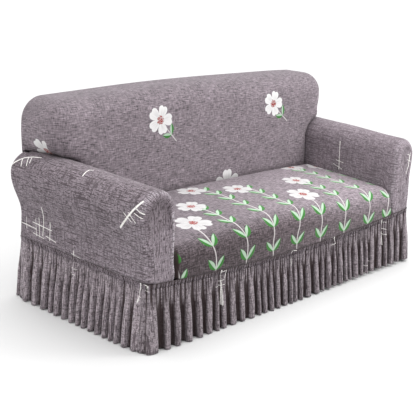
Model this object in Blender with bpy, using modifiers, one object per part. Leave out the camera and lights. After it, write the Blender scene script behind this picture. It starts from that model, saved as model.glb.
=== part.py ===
"""Stretch slipcover for a two-seat sofa, as it sits when pulled over the sofa.

Frame: metres, +Z up, the front faces -Y, +X is the right hand of a person who looks at
the front. The origin is on the floor under the middle of the cover, which is hollow and
open at the floor. Every piece of cloth is a thin sheet: a grid of stations laid on the
shape that the sofa gives it, with its thickness turned inwards.
"""
import math
import random

import bmesh
import bpy
from mathutils import Vector

# ---------------------------------------------------------------- driving dimensions
SEAM_WIDTH = 1.756        # outside width at the seam between the body and the skirt
SEAM_DEPTH = 0.820        # outside depth at that seam
SEAM_HEIGHT = 0.277       # height of the seam at the corners
SEAM_SAG = 0.041          # how far the front seam hangs lower at its middle
BACK_HEIGHT = 0.892       # top of the backrest at its middle
BACK_CROWN = 0.018        # drop of the backrest's top towards its ends
ARM_FRONT_HEIGHT = 0.626  # top of the arm at its front
ARM_REAR_HEIGHT = 0.655   # top of the arm at its rear
ARM_WIDTH = 0.145         # arm below its roll
ROLL_OVER_FRONT = 0.026   # how far the roll stands past the arm's outer side, at the front
ROLL_OVER_REAR = 0.060    # the same at the rear
ROLL_RISE = 0.085         # height of the rounded top of the arm above its widest place
ROLL_EASE = 0.200         # height over which the roll runs out into the outer side
SEAT_FRONT_HEIGHT = 0.388
SEAT_REAR_HEIGHT = 0.422
SEAT_CROWN = 0.012        # how much higher the middle of the seat is than its sides
SEAT_PUFF = 0.016         # how far the padding lifts it between its front and the backrest
SEAT_LINE = 0.280         # the seat meets the backrest this far in front of the rear
SEAT_NOSE = 0.075         # rounding of the seat's front edge
BACK_LEAN_FRONT = 0.015   # the front of the backrest leans back this much
BACK_LEAN_REAR = 0.045    # the rear panel leans forward this much, seam to top
BACK_ROUND = 0.095        # rounding of the backrest's front edges and top corners
EDGE_ROUND = 0.030        # rounding of the other edges
CREVICE_DEPTH = 0.018     # the backrest draws in this much where it meets the arms
CREVICE_WIDTH = 0.055
HEADING_HEIGHT = 0.022    # gathered band between the seam and the skirt's folds
SKIRT_FLARE = 0.018       # the hem stands this far outside the seam
CLOTH = 0.0020            # thickness of the cloth
HEADING_CLOTH = 0.0030    # thicker, because its gathers are sewn down
HEADING_STEP = 0.0005     # the heading stands this far outside the seam
GAP = 0.0003              # room between pieces that meet edge to edge
SKIRT_GAP = 0.0008        # room above and between the gathered pieces
CLEARANCE = 0.0020        # room over an edge that the cloth only passes
LIP = 0.003               # flat strip along a rounded edge, where its seam runs
TUCK = 0.045              # cloth pushed down between seat, arms and backrest
SEAT_CURL = 0.021         # rounding of the seat's rear edge
WING_COVER = 0.035        # the arm's cloth runs this far in under the backrest's ends
FOOT_START = 0.045        # this far behind the front, the arm's cloth leaves the seam
FOOT_RUN = 0.030          # and over this depth it rises to the side of the seat
SEAM_SHARE = 0.2          # share of an edge's rounding that is left at the skirt seam
SEAM_FADE = 0.070         # height over which the rounding goes down to that share

# Gathered skirt: folds per side, and how deep one is at the top and at the hem
FOLD_SIDES = (
    # name      folds  seed
    ("front", 36, 5),
    ("right", 16, 11),
    ("back", 36, 17),
    ("left", 16, 23),
)
FOLD_SHAPE = (
    # share across the fold, how far it stands out
    (0.00, 0.00),
    (0.20, 0.10),
    (0.29, 0.62),
    (0.42, 1.00),
    (0.60, 1.00),
    (0.73, 0.62),
    (0.82, 0.10),
)
FOLD_TOP = 0.008
FOLD_HEM = 0.036
FOLD_SET = 0.65             # share of a fold's depth that lies inside the skirt's line
FOLD_ROWS = (0.0, 0.30, 1.0)
FOLD_WIDTHS = (0.62, 1.38)  # a fold's width as a share of the mean
FOLD_DEPTHS = (0.60, 1.00)
CORNER_FOLD = 1.9           # the folds at the corners are this much wider
HEM_LIFT = 0.0002           # the cloth's thickness reaches this far under the hem's line

# Stations along the stretches of each outline
ROUND_STEPS = 3
WALL_STEPS = 3
ROLL_STEPS = 4
RISE_STEPS = 4
CORNER_STEPS = 4
NOSE_STEPS = 4
ARM_RUN = (-0.355, -0.33, -0.22, -0.10, 0.02)  # depths along the arm
SEAT_ACROSS = 10
SEAT_DEEP = 6
FACING_ACROSS = 4
BACK_ACROSS = 8
BACK_LOW_ROWS = 3
HEADING_LONG = 20
HEADING_SHORT = 6

HALF_WIDTH = SEAM_WIDTH / 2
HALF_DEPTH = SEAM_DEPTH / 2
INNER_X = HALF_WIDTH - ARM_WIDTH
SEAT_REAR_Y = HALF_DEPTH - SEAT_LINE
TOP_STATION = WALL_STEPS + ROLL_STEPS
LAST_STATION = 2 * TOP_STATION
CUT_STATION = TOP_STATION + 1

COLOURS = {
    "smooth": (0.245, 0.205, 0.222, 1.0),
    "flecked": (0.205, 0.180, 0.192, 1.0),
    "heading": (0.170, 0.150, 0.160, 1.0),
}


# ---------------------------------------------------------------- helpers
def mix(a, b, share):
    """Value between a and b."""
    return a + (b - a) * share


def smooth(share):
    """Soft step from 0 to 1."""
    share = min(max(share, 0.0), 1.0)
    return share * share * (3 - 2 * share)


def steps(start, end, count):
    """Evenly spaced values from start to end, both included."""
    return [mix(start, end, i / count) for i in range(count + 1)]


def quarter_turn(count):
    """Angles from 0 to a right angle."""
    return steps(0.0, math.pi / 2, count)


def make_material(kind):
    """Principled material of one kind of cloth."""
    material = bpy.data.materials.new("cloth_" + kind)
    material.use_nodes = True
    shader = material.node_tree.nodes["Principled BSDF"]
    shader.inputs["Base Color"].default_value = COLOURS[kind]
    shader.inputs["Roughness"].default_value = 0.92
    shader.inputs["Metallic"].default_value = 0.0
    return material


def add_patch(mesh, columns, rows, place, keep=None):
    """Adds a grid of columns by rows cells, each corner moved to place(column, row)."""
    grid = bmesh.ops.create_grid(mesh, x_segments=columns, y_segments=rows, size=0.5)
    station = {}
    for vertex in grid["verts"]:
        column = round((vertex.co.x + 0.5) * columns)
        row = round((vertex.co.y + 0.5) * rows)
        station[vertex] = (column, row)
    faces = {face for vertex in grid["verts"] for face in vertex.link_faces}
    unused = []
    for face in faces:
        column = min(station[vertex][0] for vertex in face.verts)
        row = min(station[vertex][1] for vertex in face.verts)
        if keep and not keep(column, row):
            unused.append(face)
    bmesh.ops.delete(mesh, geom=unused, context="FACES")
    for vertex, (column, row) in station.items():
        if vertex.is_valid:
            vertex.co = place(column, row)


def make_sheet(name, patches, kind, collection, turned=False, thickness=CLOTH):
    """Object of one piece of cloth: its patches joined, given thickness inwards."""
    mesh = bmesh.new()
    for patch in patches:
        add_patch(mesh, *patch)
    bmesh.ops.remove_doubles(mesh, verts=mesh.verts, dist=0.00005)
    if turned:
        bmesh.ops.reverse_faces(mesh, faces=mesh.faces)
    data = bpy.data.meshes.new(name)
    mesh.to_mesh(data)
    mesh.free()
    piece = bpy.data.objects.new(name, data)
    collection.objects.link(piece)
    data.materials.append(bpy.data.materials.get("cloth_" + kind) or make_material(kind))
    data.shade_smooth()
    solid = piece.modifiers.new("Thickness", "SOLIDIFY")
    solid.thickness = thickness
    solid.offset = -1.0
    solid.use_even_offset = True
    return piece


# ---------------------------------------------------------------- shared outlines
def seam_z(x):
    """Height of the front seam, which hangs lower at its middle."""
    return SEAM_HEIGHT - SEAM_SAG * (1 - min(1.0, (x / HALF_WIDTH) ** 2))


def rear_y(z):
    """Depth of the rear panel at a height."""
    return HALF_DEPTH - BACK_LEAN_REAR * (z - SEAM_HEIGHT) / (BACK_HEIGHT - SEAM_HEIGHT)


def back_front_y(z):
    """Depth of the backrest's front at a height."""
    share = (z - SEAT_REAR_HEIGHT - SEAT_CROWN) / (BACK_HEIGHT - SEAT_REAR_HEIGHT)
    return SEAT_REAR_Y + BACK_LEAN_FRONT * max(0.0, share)


def arm_share(y):
    """0 at the arm's front, 1 at its rear."""
    return (y + HALF_DEPTH) / SEAM_DEPTH


def arm_roll(y):
    """Centre and half sizes of the arm's rounded top, outwards and up, at a depth."""
    over = mix(ROLL_OVER_FRONT, ROLL_OVER_REAR, arm_share(y))
    crest = mix(ARM_FRONT_HEIGHT, ARM_REAR_HEIGHT, arm_share(y))
    half = (ARM_WIDTH + over) / 2
    return INNER_X + half, crest - ROLL_RISE, half, over


def arm_foot(y):
    """Lower edge of the arm's inner side: down to the seam at the front, behind that
    down into the gap beside the seat."""
    low = seam_z(INNER_X + EDGE_ROUND / 2) + GAP
    share = smooth((y + HALF_DEPTH - FOOT_START) / FOOT_RUN)
    return mix(low, seat_height(y) - TUCK, share)


def arm_point(station, y, inset):
    """Point on the right arm's section at depth y, drawn in by inset.

    Station 0 is the foot of the inner side, TOP_STATION the top of the roll and
    LAST_STATION the seam at the foot of the outer side."""
    centre_x, centre_z, half, over = arm_roll(y)
    if station <= WALL_STEPS:
        z = mix(arm_foot(y), centre_z, station / WALL_STEPS)
        fade = mix(SEAM_SHARE, 1.0, smooth((z - SEAM_HEIGHT) / SEAM_FADE))
        rounding = min(inset, EDGE_ROUND)
        return Vector((INNER_X + rounding * fade + inset - rounding, y, z))
    if station >= LAST_STATION - WALL_STEPS:
        share = (station - LAST_STATION + WALL_STEPS) / WALL_STEPS
        z = mix(centre_z, SEAM_HEIGHT + GAP, share)
        turn = min(math.pi, math.pi * (centre_z - z) / ROLL_EASE)
        slope = over * math.pi / (2 * ROLL_EASE) * math.sin(turn)
        normal = Vector((1.0, 0.0, -slope)).normalized()
        out = HALF_WIDTH + over * (1 + math.cos(turn)) / 2
        foot = 1.0 - smooth((z - SEAM_HEIGHT) / SEAM_FADE)
        inwards = normal.lerp(Vector((1.0, 0.0, 0.0)), foot)
        return Vector((out, y, z)) - inset * inwards
    turn = math.pi * (1 - (station - WALL_STEPS) / (2 * ROLL_STEPS))
    return Vector((centre_x + (half - inset) * math.cos(turn), y,
                   centre_z + (ROLL_RISE - inset) * math.sin(turn)))


def arm_top_z(x, y):
    """Height of the arm's top at a place, with the cloth's clearance over it."""
    centre_x, centre_z, half, _ = arm_roll(y)
    into_edge = y - (rear_y(centre_z) - EDGE_ROUND)
    inset = 0.0
    if into_edge > 0:
        into_edge = min(into_edge, EDGE_ROUND)
        inset = EDGE_ROUND - math.sqrt(EDGE_ROUND ** 2 - into_edge ** 2)
    share = (x - centre_x) / (half - inset + CLEARANCE)
    share = min(max(share, -1.0), 1.0)
    return centre_z + (ROLL_RISE - inset + CLEARANCE) * math.sqrt(1 - share * share)


# ---------------------------------------------------------------- seat
def seat_height(y):
    """Height of the seat's top along its side, front edge rounding left out."""
    share = (y + HALF_DEPTH) / (SEAT_REAR_Y + HALF_DEPTH)
    return mix(SEAT_FRONT_HEIGHT, SEAT_REAR_HEIGHT, min(share, 1.0))


def seat_lift(x, y):
    """Height of the seat's middle over its sides, none at the arms."""
    across = x / INNER_X
    along = (y + HALF_DEPTH) / (SEAT_REAR_Y + HALF_DEPTH)
    puff = 4 * SEAT_PUFF * along * (1 - along) * (1 - across ** 4)
    return SEAT_CROWN * (1 - across ** 2) + max(0.0, puff)


def seat_profile():
    """Stations of the seat from the backrest forwards and down its front.

    Each is (y, z above the seat's line, normal y, normal z, share down the front drop)."""
    stations = []
    for turn in quarter_turn(ROUND_STEPS):
        stations.append((SEAT_REAR_Y - GAP - SEAT_CURL * (1 - math.cos(turn)),
                         -SEAT_CURL * (1 - math.sin(turn)), math.cos(turn), math.sin(turn), 0.0))
    rear = stations[-1][0]
    for y in steps(rear, SEAT_NOSE - HALF_DEPTH, SEAT_DEEP)[1:]:
        stations.append((y, 0.0, 0.0, 1.0, 0.0))
    for turn in quarter_turn(NOSE_STEPS)[1:]:
        stations.append((-HALF_DEPTH + SEAT_NOSE * (1 - math.sin(turn)),
                         -SEAT_NOSE * (1 - math.cos(turn)), -math.sin(turn), math.cos(turn),
                         0.0))
    for share in (0.5, 1.0):
        stations.append((-HALF_DEPTH, -SEAT_NOSE, -1.0, 0.0, share))
    return stations


def seat_columns():
    """Places across the seat as (x, how far the edge is drawn in)."""
    edge = [(INNER_X - GAP - EDGE_ROUND * (1 - math.cos(turn)), EDGE_ROUND * (1 - math.sin(turn)))
            for turn in quarter_turn(ROUND_STEPS)]
    middle = [(x, 0.0) for x in steps(-edge[-1][0], edge[-1][0], SEAT_ACROSS)]
    left = [(-x, inset) for x, inset in edge[:-1]]
    right = [(x, inset) for x, inset in reversed(edge[:-1])]
    return left + middle + right


def make_seat(collection):
    """Deck of the seat with its front drop, one piece down to the seam."""
    profile = seat_profile()
    columns = seat_columns()

    def place(column, row):
        x, inset = columns[column]
        y, fall, normal_y, normal_z, drop = profile[row]
        z = seat_height(y) + seat_lift(x, y) + fall
        z = mix(z, seam_z(x) + GAP, drop)
        fade = mix(1.0, SEAM_SHARE, drop) * mix(SEAM_SHARE, 1.0, min(1.0, row / (ROUND_STEPS + 1)))
        return Vector((x, y - inset * fade * normal_y, z - inset * fade * normal_z))

    patch = (len(columns) - 1, len(profile) - 1, place)
    make_sheet("seat", [patch], "smooth", collection, turned=True)


# ---------------------------------------------------------------- arms
def edge_stations():
    """A rounded edge from its seam as (distance from the edge, how far it is drawn in)."""
    lip = [(0.0, EDGE_ROUND + LIP)]
    return lip + [(EDGE_ROUND * (1 - math.cos(turn)), EDGE_ROUND * (1 - math.sin(turn)))
                  for turn in quarter_turn(ROUND_STEPS)]


def make_arm_wrap(side, name, collection):
    """Inner side, rounded top and outer side of an arm in one piece."""
    edge = edge_stations()
    wing_y = SEAT_REAR_Y + BACK_LEAN_FRONT + WING_COVER
    depths = [("front", distance, inset) for distance, inset in edge]
    depths += [("run", y, 0.0) for y in ARM_RUN + (wing_y,)]
    cut = len(depths) - 1
    depths += [("rear", mix(EDGE_ROUND, HALF_DEPTH - wing_y, 0.5), 0.0)]
    depths += [("rear", distance, inset) for distance, inset in reversed(edge)]

    def place(column, row):
        where, distance, inset = depths[column]
        y = {"front": distance - HALF_DEPTH, "run": distance, "rear": HALF_DEPTH - distance}[where]
        point = arm_point(row, y, inset)
        if where == "rear":
            point.y = rear_y(point.z) - distance
        return Vector((point.x * side, point.y, point.z))

    def keep(column, row):
        return column < cut or row >= CUT_STATION

    patch = (len(depths) - 1, LAST_STATION, place, keep)
    make_sheet(name, [patch], "flecked", collection, turned=side > 0)


def make_arm_facing(side, name, collection):
    """Front panel of an arm, inside the rounded edge of the wrap."""
    inset = EDGE_ROUND + LIP + GAP

    def place(column, row):
        inner = arm_point(row, -HALF_DEPTH, inset)
        outer = arm_point(LAST_STATION - row, -HALF_DEPTH, inset)
        point = inner.lerp(outer, column / FACING_ACROSS)
        if row == 0:
            point.z = seam_z(point.x) + GAP
        return Vector((point.x * side, point.y, point.z))

    patch = (FACING_ACROSS, TOP_STATION, place)
    make_sheet(name, [patch], "flecked", collection, turned=side < 0)


# ---------------------------------------------------------------- backrest
def rim_stations():
    """The backrest's edge from its front face to the rear seam.

    Each is (outwards, depth kind, depth, normal outwards, normal to the rear)."""
    stations = [(BACK_ROUND * math.sin(turn), "front", BACK_ROUND * (1 - math.cos(turn)),
                 math.sin(turn), -math.cos(turn)) for turn in quarter_turn(ROLL_STEPS)]
    round_rear = rear_round()
    for turn in quarter_turn(ROUND_STEPS):
        stations.append((BACK_ROUND - round_rear * (1 - math.cos(turn)), "rear",
                         round_rear * (1 - math.sin(turn)), math.cos(turn), math.sin(turn)))
    stations.append((BACK_ROUND - round_rear - LIP, "rear", 0.0, 0.0, 1.0))
    return stations


def wing_x():
    """Where the rounding of the backrest's ends starts: over the arms' inner shoulder."""
    centre_x, _, half, _ = arm_roll(SEAT_REAR_Y + BACK_LEAN_FRONT)
    return centre_x + (half + CLEARANCE) * math.cos(math.pi * (ROLL_STEPS + 1) / (2 * ROLL_STEPS))


def rear_round():
    """Rounding of the backrest's rear edge, so that its seam meets the arm's rear seam."""
    arm_edge = arm_point(CUT_STATION, HALF_DEPTH, EDGE_ROUND + LIP).x
    return wing_x() + BACK_ROUND - LIP - arm_edge


def shoulder_columns():
    """Places over the arm's inner shoulder, from its inner side outwards."""
    y = SEAT_REAR_Y + BACK_LEAN_FRONT
    centre_x, _, half, _ = arm_roll(y)
    turns = [math.pi * (1 - i / (2 * ROLL_STEPS)) for i in range(ROLL_STEPS)]
    return [centre_x + (half + CLEARANCE) * math.cos(turn) for turn in turns]


def corner_z(x):
    """Height at which the rounding of the backrest's top starts."""
    crown = BACK_CROWN * (x / (wing_x() + BACK_ROUND)) ** 2
    return BACK_HEIGHT - BACK_ROUND - crown


def crevice(x, z):
    """How far the backrest is drawn in beside the arm."""
    centre_x, centre_z, half, _ = arm_roll(SEAT_REAR_Y)
    up = max(0.0, z - centre_z) * half / ROLL_RISE
    apart = math.hypot(abs(x) - centre_x, up) - half
    return CREVICE_DEPTH * max(0.0, 1 - apart / CREVICE_WIDTH) ** 2


def wing_foot(x):
    """Lower edge of the backrest's front where it passes over an arm."""
    return arm_top_z(abs(x), SEAT_REAR_Y + BACK_LEAN_FRONT)


def back_face_point(x, z):
    """Point of the backrest's front face."""
    return Vector((x, back_front_y(z) + crevice(x, z), z))


def rim_point(rim, x_start, z_start, angle):
    """Point on the backrest's edge, which runs outwards at an angle from a start."""
    out, kind, depth, normal_out, normal_rear = rim
    x = x_start + out * math.cos(angle)
    z = z_start + out * math.sin(angle)
    y = back_front_y(z) + depth if kind == "front" else rear_y(z) - depth
    return x, y, z, normal_out, normal_rear


def rim_columns(top):
    """Places round the backrest's edge: up one end, round its corner, over the top, and
    down the other end. Each is (stretch, share of the stretch or x, side)."""
    rise = [("end", share) for share in steps(0.0, 1.0, RISE_STEPS)[:-1]]
    rise += [("corner", share) for share in steps(0.0, 1.0, CORNER_STEPS)[:-1]]
    left = [(stretch, share, -1) for stretch, share in rise]
    over = [("top", x, 1) for x in top]
    right = [(stretch, share, 1) for stretch, share in reversed(rise)]
    return left + over + right


def end_point(station, share, fade):
    """Point of the backrest's right end, between the arm under it and its corner."""
    start = corner_z(wing_x())
    x, y, _, normal_out, normal_rear = rim_point(station, wing_x(), start, 0.0)
    z = mix(arm_top_z(x, y), start, share)
    inset = crevice(x, z) * fade
    lean = back_front_y if station[1] == "front" else rear_y
    x -= inset * normal_out
    y += lean(z) - lean(start) - inset * normal_rear
    return x, y, mix(arm_top_z(x, y), start, share)


def make_back_inside(collection):
    """Front of the backrest, carried over its top and round its ends to the rear seam."""
    rim = rim_stations()
    shoulder = shoulder_columns()
    middle = steps(-shoulder[0], shoulder[0], BACK_ACROSS)
    columns = [-x for x in reversed(shoulder[1:])] + middle + shoulder[1:]
    around = rim_columns(columns)
    _, centre_z, _, _ = arm_roll(SEAT_REAR_Y)
    low_rows = steps(SEAT_REAR_HEIGHT - TUCK, centre_z, BACK_LOW_ROWS)

    def place_lower(column, row):
        return back_face_point(middle[column], low_rows[row])

    def place_upper(column, row):
        x = columns[column]
        foot = wing_foot(x) if abs(x) > shoulder[0] + GAP else centre_z
        return back_face_point(x, mix(foot, corner_z(x), row / RISE_STEPS))

    def place_rim(column, row):
        stretch, share, side = around[column]
        start = corner_z(wing_x())
        if stretch == "top":
            _, y, z, _, _ = rim_point(rim[row], share, corner_z(share), math.pi / 2)
            return Vector((share, y, z))
        if stretch == "corner":
            x, y, z, _, _ = rim_point(rim[row], wing_x(), start, share * math.pi / 2)
        elif row == 0:
            x = wing_x()
            _, y, z = back_face_point(x, mix(wing_foot(x), start, share))
        else:
            x, y, z = end_point(rim[row], share, max(0.0, 1 - row / (len(rim) - 2)))
        return Vector((side * x, y, z))

    patches = [
        (BACK_ACROSS, BACK_LOW_ROWS, place_lower),
        (len(columns) - 1, RISE_STEPS, place_upper),
        (len(around) - 1, len(rim) - 1, place_rim),
    ]
    make_sheet("back_inside", patches, "smooth", collection)


def make_back_outside(collection):
    """Plain rear panel from the skirt seam to the top of the backrest."""
    rim = rim_stations()[-1]
    start = corner_z(wing_x())
    ends = []
    for station in range(LAST_STATION, CUT_STATION - 1, -1):
        point = arm_point(station, HALF_DEPTH, EDGE_ROUND + LIP + GAP)
        ends.append((point.x, point.z))
    reach = wing_x() + rim[0] - GAP
    foot = arm_top_z(reach, HALF_DEPTH)
    ends += [(reach, z) for z in steps(foot, start, RISE_STEPS)]
    ends += [(wing_x() + (rim[0] - GAP) * math.cos(turn), start + (rim[0] - GAP) * math.sin(turn))
             for turn in quarter_turn(CORNER_STEPS)[1:]]

    def place(column, row):
        x, z = ends[row]
        x *= 2 * column / BACK_ACROSS - 1
        if row == len(ends) - 1:
            z += corner_z(x) - start
        return Vector((x, rear_y(z), z))

    patch = (BACK_ACROSS, len(ends) - 1, place)
    make_sheet("back_outside", [patch], "flecked", collection, turned=True)


# ---------------------------------------------------------------- heading and skirt
def side_path(name):
    """One side of the rounded outline: function of the distance, and its length.

    The front and back take both corners with them, and a lip past each; the left and right
    sides are straight. The function gives the point and the outward direction in plan."""
    straight_x = SEAM_WIDTH - 2 * EDGE_ROUND
    straight_y = SEAM_DEPTH - 2 * EDGE_ROUND
    arc = EDGE_ROUND * math.pi / 2

    def corner(cx, cy, angle):
        out = Vector((math.cos(angle), math.sin(angle), 0.0))
        return Vector((cx, cy, 0.0)) + EDGE_ROUND * out, out

    def long_side(distance, turn):
        """Front for turn 0, back for turn pi."""
        spin = Vector((math.cos(turn), math.sin(turn), 0.0))
        if distance < arc:
            angle = math.pi + max(0.0, distance) / EDGE_ROUND
            point, out = corner(-straight_x / 2, -straight_y / 2, angle)
            point.y -= min(0.0, distance)
        elif distance > arc + straight_x:
            past = distance - arc - straight_x
            point, out = corner(straight_x / 2, -straight_y / 2,
                                min(past, arc) / EDGE_ROUND - math.pi / 2)
            point.y += max(0.0, past - arc)
        else:
            point = Vector((distance - arc - straight_x / 2, -HALF_DEPTH, 0.0))
            out = Vector((0.0, -1.0, 0.0))
        return point * spin.x, out * spin.x

    if name in ("front", "back"):
        turn = 0.0 if name == "front" else math.pi
        return (lambda distance: long_side(distance, turn)), straight_x + 2 * arc, -LIP
    sign = 1 if name == "right" else -1

    def short_side(distance):
        y = -straight_y / 2 + distance
        return Vector((sign * HALF_WIDTH, sign * y, 0.0)), Vector((sign, 0.0, 0.0))

    return short_side, straight_y, LIP


def top_edge(name, point):
    """Height of the seam over a point of one side."""
    return seam_z(point.x) if name == "front" else SEAM_HEIGHT


def path_stations(length, margin, count, arc_steps):
    """Distances along a side, with a station at each step of its corner arcs."""
    arc = EDGE_ROUND * math.pi / 2
    start = margin + SKIRT_GAP / 2
    if arc_steps == 0:
        return steps(start, length - start, count)
    arc_start = steps(0.0, arc, arc_steps)
    run = steps(arc, length - arc, count)
    arc_end = steps(length - arc, length, arc_steps)
    return [start] + arc_start[:-1] + run + arc_end[1:] + [length - start]


def make_heading(name, collection):
    """Narrow gathered band along one side, just under the seam."""
    path, length, margin = side_path(name)
    count, arc_steps = (HEADING_LONG, ROUND_STEPS) if margin < 0 else (HEADING_SHORT, 0)
    stations = path_stations(length, margin, count, arc_steps)

    def place(column, row):
        point, out = path(stations[column])
        z = top_edge(name, point) - GAP - (HEADING_HEIGHT - GAP) * (1 - row)
        return Vector((point.x, point.y, z)) + HEADING_STEP * out

    patch = (len(stations) - 1, 1, place)
    make_sheet("heading_" + name, [patch], "heading", collection, thickness=HEADING_CLOTH)


def fold_stations(folds, seed, length, margin):
    """Stations across the folds of a side as (distance, bulge, depth of that fold)."""
    draw = random.Random(seed)
    widths = [draw.uniform(*FOLD_WIDTHS) for _ in range(folds)]
    depths = [draw.uniform(*FOLD_DEPTHS) for _ in range(folds)]
    if margin < 0:
        widths[0] = widths[-1] = CORNER_FOLD
    deepest = max(depths)
    start = margin + SKIRT_GAP / 2
    scale = (length - 2 * start) / sum(widths)
    stations = []
    for width, depth in zip(widths, depths):
        for share, bulge in FOLD_SHAPE:
            stations.append((start + width * scale * share, bulge, depth / deepest))
        start += width * scale
    stations.append((start, 0.0, 1.0))
    return stations


def make_skirt(name, folds, seed, collection):
    """Gathered skirt of one side, from the heading to the floor."""
    path, length, margin = side_path(name)
    stations = fold_stations(folds, seed, length, margin)

    def place(column, row):
        distance, bulge, depth = stations[column]
        point, out = path(distance)
        fall = FOLD_ROWS[len(FOLD_ROWS) - 1 - row]
        top = top_edge(name, point) - HEADING_HEIGHT - SKIRT_GAP
        fold = mix(FOLD_TOP, FOLD_HEM * depth, smooth(fall * 1.3))
        reach = SKIRT_FLARE * fall + fold * (bulge - FOLD_SET)
        return Vector((point.x, point.y, mix(top, HEM_LIFT, fall))) + reach * out

    patch = (len(stations) - 1, len(FOLD_ROWS) - 1, place)
    make_sheet("skirt_" + name, [patch], "flecked", collection)


def main():
    for item in list(bpy.data.objects):
        bpy.data.objects.remove(item, do_unlink=True)
    collection = bpy.data.collections.new("sofa_slipcover")
    bpy.context.scene.collection.children.link(collection)
    make_back_inside(collection)
    make_back_outside(collection)
    make_seat(collection)
    for side, word in ((-1, "left"), (1, "right")):
        make_arm_wrap(side, "arm_wrap_" + word, collection)
        make_arm_facing(side, "arm_facing_" + word, collection)
    for name, folds, seed in FOLD_SIDES:
        make_heading(name, collection)
        make_skirt(name, folds, seed, collection)


main()
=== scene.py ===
"""Stretch slipcover for a two-seat sofa: printed cloth, seams and a gathered skirt.

Every piece of cloth is a thin sheet in its fitted shape, in metres, +Z up,
with the front towards -Y. The panel in the sidebar remakes one group of pieces at a time.
"""

import math
import random

import bmesh
import bpy
from bpy.props import FloatProperty, FloatVectorProperty, IntProperty, PointerProperty
from mathutils import Matrix, Vector, kdtree, noise


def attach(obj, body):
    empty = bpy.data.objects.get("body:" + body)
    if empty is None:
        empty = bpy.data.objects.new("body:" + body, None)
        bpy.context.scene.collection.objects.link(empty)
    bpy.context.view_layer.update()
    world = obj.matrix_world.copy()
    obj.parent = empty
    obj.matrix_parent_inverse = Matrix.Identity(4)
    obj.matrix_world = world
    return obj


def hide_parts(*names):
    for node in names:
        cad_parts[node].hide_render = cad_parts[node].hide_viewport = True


bl_info = {
    "name": "Sofa slipcover",
    "version": (1, 0, 0),
    "blender": (4, 5, 0),
    "location": "3D View > Sidebar > Slipcover",
    "description": "Stretch slipcover with printed cloth and a gathered skirt",
    "category": "Object",
}

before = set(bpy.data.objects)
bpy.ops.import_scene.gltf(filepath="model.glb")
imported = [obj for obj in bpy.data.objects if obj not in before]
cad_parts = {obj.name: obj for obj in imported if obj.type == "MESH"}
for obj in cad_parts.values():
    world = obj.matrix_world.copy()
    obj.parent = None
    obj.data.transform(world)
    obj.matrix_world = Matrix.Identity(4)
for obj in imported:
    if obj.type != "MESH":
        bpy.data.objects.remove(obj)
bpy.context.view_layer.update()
bpy.ops.object.select_all(action="DESELECT")

# ---------------------------------------------------------------- sizes, as in the solids
SEAM_WIDTH = 1.756         # outside width at the seam between the body and the skirt
SEAM_DEPTH = 0.820         # outside depth at that seam
SEAM_HEIGHT = 0.277        # height of the seam at the corners
SEAM_SAG = 0.041           # how far the front seam hangs lower at its middle
BACK_HEIGHT = 0.892        # top of the backrest at its middle
BACK_CROWN = 0.018         # drop of the backrest's top towards its ends
ARM_FRONT_HEIGHT = 0.626   # top of the arm at its front
ARM_REAR_HEIGHT = 0.655    # top of the arm at its rear
ARM_WIDTH = 0.145          # arm below its roll
ROLL_OVER_FRONT = 0.026    # how far the roll stands past the arm's outer side, at the front
ROLL_OVER_REAR = 0.060     # the same at the rear
ROLL_RISE = 0.085          # height of the rounded top of the arm above its widest place
ROLL_EASE = 0.200          # height over which the roll runs out into the outer side
SEAT_FRONT_HEIGHT = 0.388
SEAT_REAR_HEIGHT = 0.422
SEAT_CROWN = 0.012         # how much higher the middle of the seat is than its sides
SEAT_PUFF = 0.016          # how much further it rises between its front and the backrest
SEAT_LINE = 0.280          # the seat meets the backrest this far in front of the rear
SEAT_NOSE = 0.075          # rounding of the seat's front edge
BACK_LEAN_FRONT = 0.015    # the front of the backrest leans back this much
BACK_LEAN_REAR = 0.045     # the rear panel leans forward this much, seam to top
BACK_ROUND = 0.095         # rounding of the backrest's front edges and top corners
EDGE_ROUND = 0.030         # rounding of the other edges
CREVICE_DEPTH = 0.018      # the backrest draws in this much where it meets the arms
CREVICE_WIDTH = 0.055
GROOVE = (0.012, 0.009)    # deeper last part of the crevice: depth, width
HEADING_HEIGHT = 0.022     # gathered band between the seam and the skirt's folds
HEADING_CLOTH = 0.0030     # thicker, because its gathers are sewn down
HEADING_STEP = 0.0005      # the heading stands this far outside the seam
SKIRT_FLARE = 0.018        # the hem stands this far outside the seam
SKIRT_LIFT = 0.012         # how much the hem rises towards the front right corner
HEM_LIFT = 0.0002          # the cloth's thickness reaches this far under the hem's line
GAP = 0.0003               # room between pieces that meet edge to edge
SKIRT_GAP = 0.0008         # room above and between the gathered pieces
CLEARANCE = 0.0020         # room over an edge that the cloth only passes
LIP = 0.003                # flat strip along a rounded edge, where its seam runs
TUCK = 0.045               # cloth pushed down between seat, arms and backrest
SEAT_CURL = 0.021          # rounding of the seat's rear edge
WING_COVER = 0.035         # the arm's cloth runs this far in under the backrest's ends
FOOT_START = 0.045         # this far behind the front, the arm's cloth leaves the seam
FOOT_RUN = 0.030           # and over this depth it rises to the side of the seat
SEAM_SHARE = 0.2           # share of an edge's rounding that is left at the skirt seam
SEAM_FADE = 0.070          # height over which the rounding goes down to that share

# How stretched cloth is drawn in or out
ROLL_DRAW = 0.020          # the right roll is drawn in towards its front
RIM_BULGE = 0.011          # the left arm's front rim bulges over the seat's side
FOOT_DRAW = 0.010          # and is drawn back at its foot, where its edge is sharper
END_TUCK = (0.060, 0.110)  # how far the backrest's end is drawn in over the arm, and how high
RIGHT_END_DRAW = 0.020     # the right end is drawn in a little more than the left one

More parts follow.
